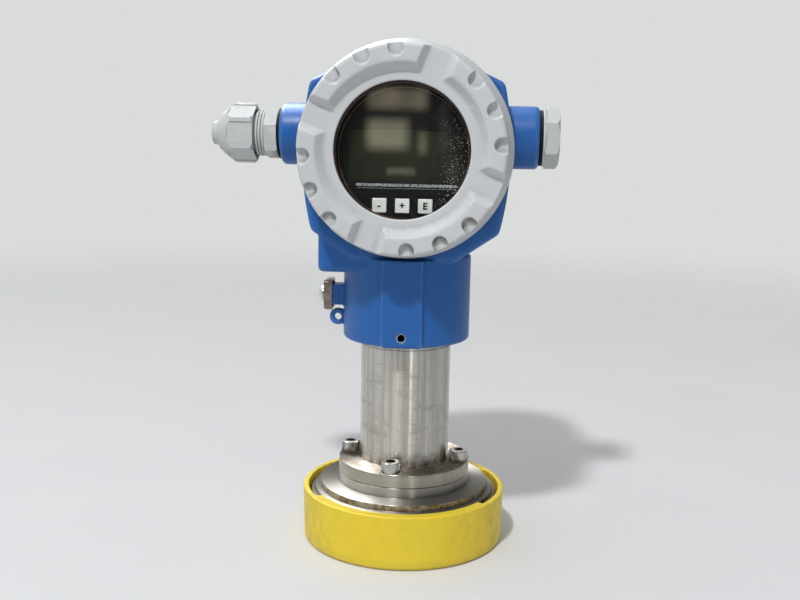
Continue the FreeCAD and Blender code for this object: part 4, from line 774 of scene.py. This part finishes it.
# Ground glass edge: grey, finely broken up.
ground_glass, place = new_finish("ground_glass_edge")
frost = add(ground_glass, "TexNoise", {"Vector": place, "Scale": 1 / (0.6 * MM), "Detail": 2.0})
share = add(ground_glass, "MapRange", {0: frost, 1: 0.38, 2: 0.62})
colour = add(ground_glass, "Mix", {0: share, 6: "#232427", 7: "#b4b7be"}, data_type="RGBA")
shader = add(ground_glass, "BsdfPrincipled", {"Base Color": colour, "Roughness": 0.5})
add(ground_glass, "OutputMaterial", {"Surface": shader})
fit(ground_edge, "housing", "display_glass", ground_glass)


# Keys
# Three square keys moulded in grey plastic, below the display. They press in through the module's face
# against springs, and their signs are printed.
KEY_Z, KEY_FRONT, KEY_WIDTH, KEY_DEPTH, KEY_STEP = 189.8, -43.0, 7.3, 4.0, 11.6
SIGN_SIZE, SIGN_RISE, SIGN_WEIGHT = 4.7, 0.03, 0.18

# Moulded key plastic: pale warm grey, softly glossy.
key_plastic = mottled("moulded_grey_abs", 2, 4.0, "#c9cbc8", "#d6d8d5", {"Roughness": 0.4, "IOR": 1.54})

for name, sign, x in (("key_minus", "-", -KEY_STEP), ("key_plus", "+", 0.0), ("key_enter", "E", KEY_STEP)):
    key = bar(name + "_cap", (KEY_WIDTH, KEY_DEPTH, KEY_WIDTH), (x, KEY_FRONT + KEY_DEPTH / 2, KEY_Z), 0.55)
    fit(key, name, "key_plastic", key_plastic, name)
    bpy.ops.object.select_all(action="DESELECT")
    bpy.ops.object.text_add(location=(x * MM, (KEY_FRONT - 0.02) * MM, KEY_Z * MM),
                            rotation=(math.pi / 2, 0, 0))
    print_mark = bpy.context.object
    print_mark.name = name + "_sign"
    lettering = print_mark.data
    lettering.body = sign
    lettering.size = SIGN_SIZE * MM
    lettering.align_x = "CENTER"
    lettering.align_y = "CENTER"
    lettering.extrude = SIGN_RISE * MM
    lettering.offset = SIGN_WEIGHT * MM
    bpy.ops.object.convert(target="MESH")
    bpy.ops.object.transform_apply(location=True, rotation=True, scale=True)
    fit(print_mark, name, "black_plastic", black_polycarbonate)


# Terminal block
# A moulded block with three screw terminals, fixed in the rear compartment. It is seen only with the
# rear cover off.
dress(black_polycarbonate, "terminal_block")
dress(screw_steel, "terminal_screws")


# Cable gland
# A polyamide gland in the left entry: gasket, hexagon body with a coarse thread, rubber bush, and a
# domed nut that squeezes the bush round the cable. It is screwed into the boss.
BOSS_END, ENTRY_Z = 69.0, 224.5
BODY_FLATS, BODY_TURN, NUT_FLATS = 24.0, -12.0, 28.0


def hexagon(name, flats, corners):
    """A hexagon prism of a width across flats, its corners turned to a (radius, height) profile, in mm."""
    bottom, top = corners[0][1], corners[-1][1]
    piece = prism(name, 6, flats / math.sqrt(3), bottom, top)
    profile = [(0, bottom, 0)] + [(radius, height, 0) for radius, height in corners] + [(0, top, 0)]
    cut(piece, turned("corner_tool", profile), "INTERSECT")
    return piece


gland_gasket = turned("gland_gasket_ring", [
    (10.2, 0, 0), (13.5, 0, 0.4), (13.5, 1.8, 0.4), (10.2, 1.8, 0)], closed=True)
gland_body = turned("gland_body_moulding", [
    (0, -11, 0), (10, -11, 0.6), (10, 1.8, 0), (11, 1.8, 0), (11, 8.8, 0), (11.6, 8.8, 0),
    (12.3, 9.2, 0.3), (12.3, 10.1, 0.3), (11.4, 10.5, 0), (12.3, 10.9, 0.3), (12.3, 11.8, 0.3),
    (11.4, 12.2, 0), (12.3, 12.6, 0.3), (12.3, 13.5, 0.3), (9.8, 13.9, 0), (9.8, 21.0, 0.5), (0, 21.0, 0)])
flats = hexagon("gland_hexagon", BODY_FLATS, [(13.2, 1.8), (14.0, 2.4), (14.0, 8.0), (12.9, 8.8)])
flats.data.transform(Matrix.Rotation(math.radians(BODY_TURN), 4, "Z"))
cut(gland_body, flats, "UNION")
cut(gland_body, turned("gland_bore_tool", [
    (0, -12, 0), (6.2, -12, 0), (6.2, 9.1, 0), (8.0, 9.1, 0), (8.0, 22, 0), (0, 22, 0)]))
ease(gland_body, 0.35, 40)
smooth(gland_body)
bush = turned("gland_bush_ring", [
    (4.0, 12.9, 0.4), (7.7, 12.9, 0.2), (7.7, 23.8, 0.3), (5.7, 25.8, 0.3), (4.0, 25.8, 0.5)], closed=True)
smooth(bush)
nut = hexagon("gland_dome_nut", NUT_FLATS, [(14.8, 14.6), (16.3, 15.9), (16.3, 25.6), (12.2, 31.0)])
recesses = []
for count in range(6):
    recess = block("nut_recess_tool", (12.0, 4.0, 17.6), (0, 15.5, 19.8))
    recess.data.transform(Matrix.Rotation(math.radians(30 + 60 * count), 4, "Z"))
    recesses.append(recess)
cut(nut, joined("nut_recess_tools", recesses))
cut(nut, turned("nut_dome", [
    (0, 29.0, 0), (12.6, 29.0, 0), (12.6, 30.3, 0.4), (11.8, 31.9, 0.5), (10.9, 32.6, 0.2),
    (10.3, 32.75, 0.1), (9.6, 33.9, 0.4), (8.9, 34.6, 0.2), (7.3, 34.8, 0.2), (6.75, 35.4, 0.2),
    (6.6, 38.1, 0.2), (6.2, 38.5, 0.1), (0, 38.5, 0)]), "UNION")
cut(nut, turned("nut_bore_tool", [
    (0, 13, 0), (12.9, 13, 0), (12.9, 18.2, 0), (10.1, 18.2, 0), (10.1, 24.5, 0), (5.6, 31.0, 0),
    (5.6, 40, 0), (0, 40, 0)]))
ease(nut, 0.35, 40)
smooth(nut)
for piece in (gland_gasket, gland_body, bush, nut):
    seat(piece, LEFT, -BOSS_END, 0, ENTRY_Z)

# Moulded grey polyamide: satin, slightly mottled, with dirt and painted shade in its corners, and a
# little light inside.
grey_polyamide, place = new_finish("moulded_grey_polyamide")
mottle = add(grey_polyamide, "TexNoise", {"Vector": place, "Scale": 1 / (5 * MM), "Detail": 5.0})
grain = add(grey_polyamide, "TexNoise", {"Vector": place, "Scale": 1 / (0.7 * MM), "Detail": 2.0})
colour = add(grey_polyamide, "Mix", {0: mottle, 6: "#b8bbb9", 7: "#c5c8c6"}, data_type="RGBA")
soiled_and_shaded = dirt_and_shade_in_corners(grey_polyamide, colour, "#66655d", reach=2, deep=0.3, shallow=0.8, share=0.5)
relief = add(grey_polyamide, "Bump", {"Height": grain, "Distance": 0.015 * MM})
shader = add(grey_polyamide, "BsdfPrincipled", {
    "Base Color": soiled_and_shaded, "Roughness": 0.5, "IOR": 1.53, "Specular IOR Level": 0.08,
    "Subsurface Weight": 0.06, "Subsurface Scale": 1 * MM, "Normal": relief})
add(grey_polyamide, "OutputMaterial", {"Surface": shader})
smooth(gland_gasket)
fit(gland_gasket, "housing", "black_rubber", black_rubber, "gland_gasket")
fit(gland_body, "housing", "grey_plastic", grey_polyamide, "gland_body")
fit(bush, "gland_bush", "black_rubber", black_rubber, "gland_bush")
fit(nut, "gland_nut", "grey_plastic", grey_polyamide, "gland_nut")


# Blanking plug
# A hexagon plug moulded in polyamide, screwed on its rubber gasket into the right entry, which has no
# cable.
PLUG_FLATS = 28.0
RIGHT = Matrix(((0, 0, 1, 0), (1, 0, 0, 0), (0, 1, 0, 0), (0, 0, 0, 1)))
plug_gasket = turned("plug_gasket_ring", [
    (10.2, 0, 0), (14.7, 0, 0.4), (14.7, 1.8, 0.4), (10.2, 1.8, 0)], closed=True)
plug = turned("blanking_plug_moulding", [
    (0, -11, 0), (10, -11, 0.7), (10, 1.8, 0), (15, 1.8, 0.3), (15, 3.3, 0.4), (0, 3.3, 0)])
cut(plug, hexagon("plug_hexagon", PLUG_FLATS, [(16.3, 3.0), (16.3, 9.0), (14.0, 10.5)]), "UNION")
ease(plug, 0.5, 40, segments=3)
for piece in (plug_gasket, plug):
    smooth(piece)
    seat(piece, RIGHT, BOSS_END, 0, ENTRY_Z)
fit(plug_gasket, "housing", "black_rubber", black_rubber, "plug_gasket")
fit(plug, "housing", "grey_plastic", grey_polyamide, "blanking_plug")


# Floor
# A plain pale table top that fades into the background at its edge.
FLOOR_R, FADE_FROM = 1.6, 0.4
bpy.ops.object.select_all(action="DESELECT")
bpy.ops.mesh.primitive_circle_add(vertices=96, radius=FLOOR_R, fill_type="NGON")
floor = bpy.context.object
floor.name = floor.data.name = "floor"

# White laminate: matt and a little uneven, so that it holds the shadow and mirrors no lamp.
table_top, place = new_finish("white_laminate")
worn = add(table_top, "TexNoise", {"Vector": place, "Scale": 1 / (90 * MM), "Detail": 4.0})
colour = add(table_top, "Mix", {0: worn, 6: "#d7d8d9", 7: "#dddede"}, data_type="RGBA")
shader = add(table_top, "BsdfPrincipled", {
    "Base Color": colour, "Roughness": 0.85, "Specular IOR Level": 0.2})
far = add(table_top, "VectorMath", {0: place}, operation="LENGTH")
fade = add(table_top, "MapRange", {0: far, 1: FADE_FROM, 2: FLOOR_R}, interpolation_type="SMOOTHSTEP")
gone = add(table_top, "BsdfTransparent", {})
mixed = add(table_top, "MixShader", {0: fade, 1: shader, 2: gone})
add(table_top, "OutputMaterial", {"Surface": mixed})
floor.data.materials.append(table_top)


# Light
# A lamp high on the left in front, a narrow one on the right that streaks the steel, and a pale room,
# darker on the right, with windows behind the camera and a ceiling panel, which gloss mirrors.
PANEL_GAIN = 20.0


def lamp(name, energy, width, height, place_mm, aim_mm, colour):
    """A soft lamp of a width and height that looks from its place to its aim."""
    light = bpy.data.lights.new(name, "AREA")
    light.shape = "RECTANGLE"
    light.energy = energy
    light.size = width
    light.size_y = height
    light.color = linear(colour)[:3]
    holder = bpy.data.objects.new(name, light)
    bpy.context.scene.collection.objects.link(holder)
    holder.location = Vector(place_mm) * MM
    holder.rotation_euler = (Vector(aim_mm) - Vector(place_mm)).to_track_quat("-Z", "Y").to_euler()


lamp("key_lamp", 34.0, 0.16, 0.16, (-440, -1320, 1980), (0, 0, 150), "#fcfcff")
lamp("side_lamp", 1.3, 0.03, 0.8, (440, -1330, 350), (0, 0, 80), "#fffdf8")


def overlap(*masks):
    """A world mask that is the product of several."""
    product = masks[0]
    for mask in masks[1:]:
        product = add(world, "Math", {0: product, 1: mask}, operation="MULTIPLY")
    return product


def within(value, middle, half, soft):
    """A world mask that is 1 where a heading lies within half of a middle, with a soft edge."""
    offset = add(world, "Math", {0: value, 1: middle}, operation="SUBTRACT")
    distance = add(world, "Math", {0: offset}, operation="ABSOLUTE")
    return add(world, "MapRange", {0: distance, 1: half - soft, 2: half + soft, 3: 1.0, 4: 0.0})


world = bpy.data.worlds.new("pale_room")
world.use_nodes = True
world.node_tree.nodes.clear()
bpy.context.scene.world = world
direction = add(world, "TexCoord", {}).outputs["Generated"]
heading = add(world, "SeparateXYZ", {"Vector": direction})
sideways = add(world, "MapRange", {0: heading.outputs["X"], 1: -0.7, 2: 0.7})
room_colour = add(world, "Mix", {0: sideways, 6: "#e2e3e1", 7: "#9b9c9b"}, data_type="RGBA")
behind = add(world, "MapRange", {0: heading.outputs["Y"], 1: -0.985, 2: -0.93, 3: 1.0, 4: 0.0},
             interpolation_type="SMOOTHSTEP")
mirror_colour = add(world, "Mix", {0: behind, 6: room_colour, 7: "#2b2a28"}, data_type="RGBA")
uneven = add(world, "TexNoise", {"Vector": direction, "Scale": 45.0, "Detail": 4.0, "Roughness": 0.6})
smeared = add(world, "MapRange", {0: uneven, 1: 0.35, 2: 0.6, 3: 0.6, 4: 1.05})
at_back = overlap(behind, smeared)
aside, along, aloft = heading.outputs["X"], heading.outputs["Y"], heading.outputs["Z"]

# Each window behind the camera: its middle and half size in the heading, soft edge, gain and colour.
for middle_x, middle_z, half_w, half_h, soft, gain, colour in (
        (-0.0867, 0.0289, 0.0282, 0.0093, 0.0045, 1.6, "#f8e9c9"),
        (-0.0957, -0.0050, 0.0189, 0.0136, 0.005, 1.75, "#fff8d7"),
        (-0.0618, -0.0122, 0.0030, 0.0110, 0.004, 1.2, "#fffed3"),
        (-0.0418, 0.0037, 0.0044, 0.0245, 0.004, 0.2, "#fffff6"),
        (-0.0821, -0.0400, 0.0135, 0.0029, 0.002, 1.3, "#f8ffd9"),
        (-0.0297, -0.0368, 0.0075, 0.0094, 0.006, 0.25, "#fffff0")):
    pane_light = overlap(within(aside, middle_x, half_w, soft), within(aloft, middle_z, half_h, soft))
    mirror_colour = add(world, "Mix", {
        0: overlap(at_back, pane_light), 6: mirror_colour,
        7: [gain * channel for channel in linear(colour)]}, data_type="RGBA")

# The ceiling panel, high up on the left.
panel = overlap(within(aside, -0.37, 0.24, 0.04), within(along, 0.33, 0.4, 0.12))
overhead = add(world, "MapRange", {0: aloft, 1: 0.3, 2: 0.5})
mirror_colour = add(world, "Mix", {
    0: overlap(panel, overhead), 6: mirror_colour,
    7: [PANEL_GAIN * channel for channel in linear("#f8fbff")]}, data_type="RGBA")
path = add(world, "LightPath", {})
wall = add(world, "Background", {"Color": "#dadcdb", "Strength": 1.0})
mirrored = add(world, "Background", {"Color": mirror_colour, "Strength": 1.0})
from_above = add(world, "MapRange", {0: heading.outputs["Z"], 1: 0.0, 2: 1.0, 3: 0.22, 4: 0.86})
from_left = add(world, "MapRange", {0: heading.outputs["X"], 1: -0.7, 2: 0.7, 3: 1.2, 4: 0.7})
ambient = add(world, "Background", {"Color": "#eeeff0", "Strength": overlap(from_above, from_left)})
seen = add(world, "Math", {
    0: path.outputs["Is Glossy Ray"], 1: path.outputs["Is Transmission Ray"]}, operation="MAXIMUM")
lit = add(world, "MixShader", {0: seen, 1: ambient, 2: mirrored})
shown = add(world, "MixShader", {0: path.outputs["Is Camera Ray"], 1: lit, 2: wall})
add(world, "OutputWorld", {"Surface": shown})
bpy.context.scene.view_settings.view_transform = "Standard"


# Camera
# It stands in front, a little to the right and above, and looks slightly down, as the photograph does.
CAMERA_PLACE, CAMERA_LENS = (41.7, -560.5, 227.9), 46.26
PAN, TILT_DOWN, ROLL = 4.64, 9.43, 1.05
camera = bpy.data.cameras.new("photo_camera")
camera.lens = CAMERA_LENS
camera.sensor_width = 36.0
camera.clip_start = 0.01
viewpoint = bpy.data.objects.new("photo_camera", camera)
bpy.context.scene.collection.objects.link(viewpoint)
turn = (Matrix.Rotation(math.radians(PAN), 4, "Z") @ Matrix.Rotation(math.radians(90 - TILT_DOWN), 4, "X")
        @ Matrix.Rotation(math.radians(ROLL), 4, "Z"))
viewpoint.matrix_world = Matrix.Translation(Vector(CAMERA_PLACE) * MM) @ turn
bpy.context.scene.camera = viewpoint
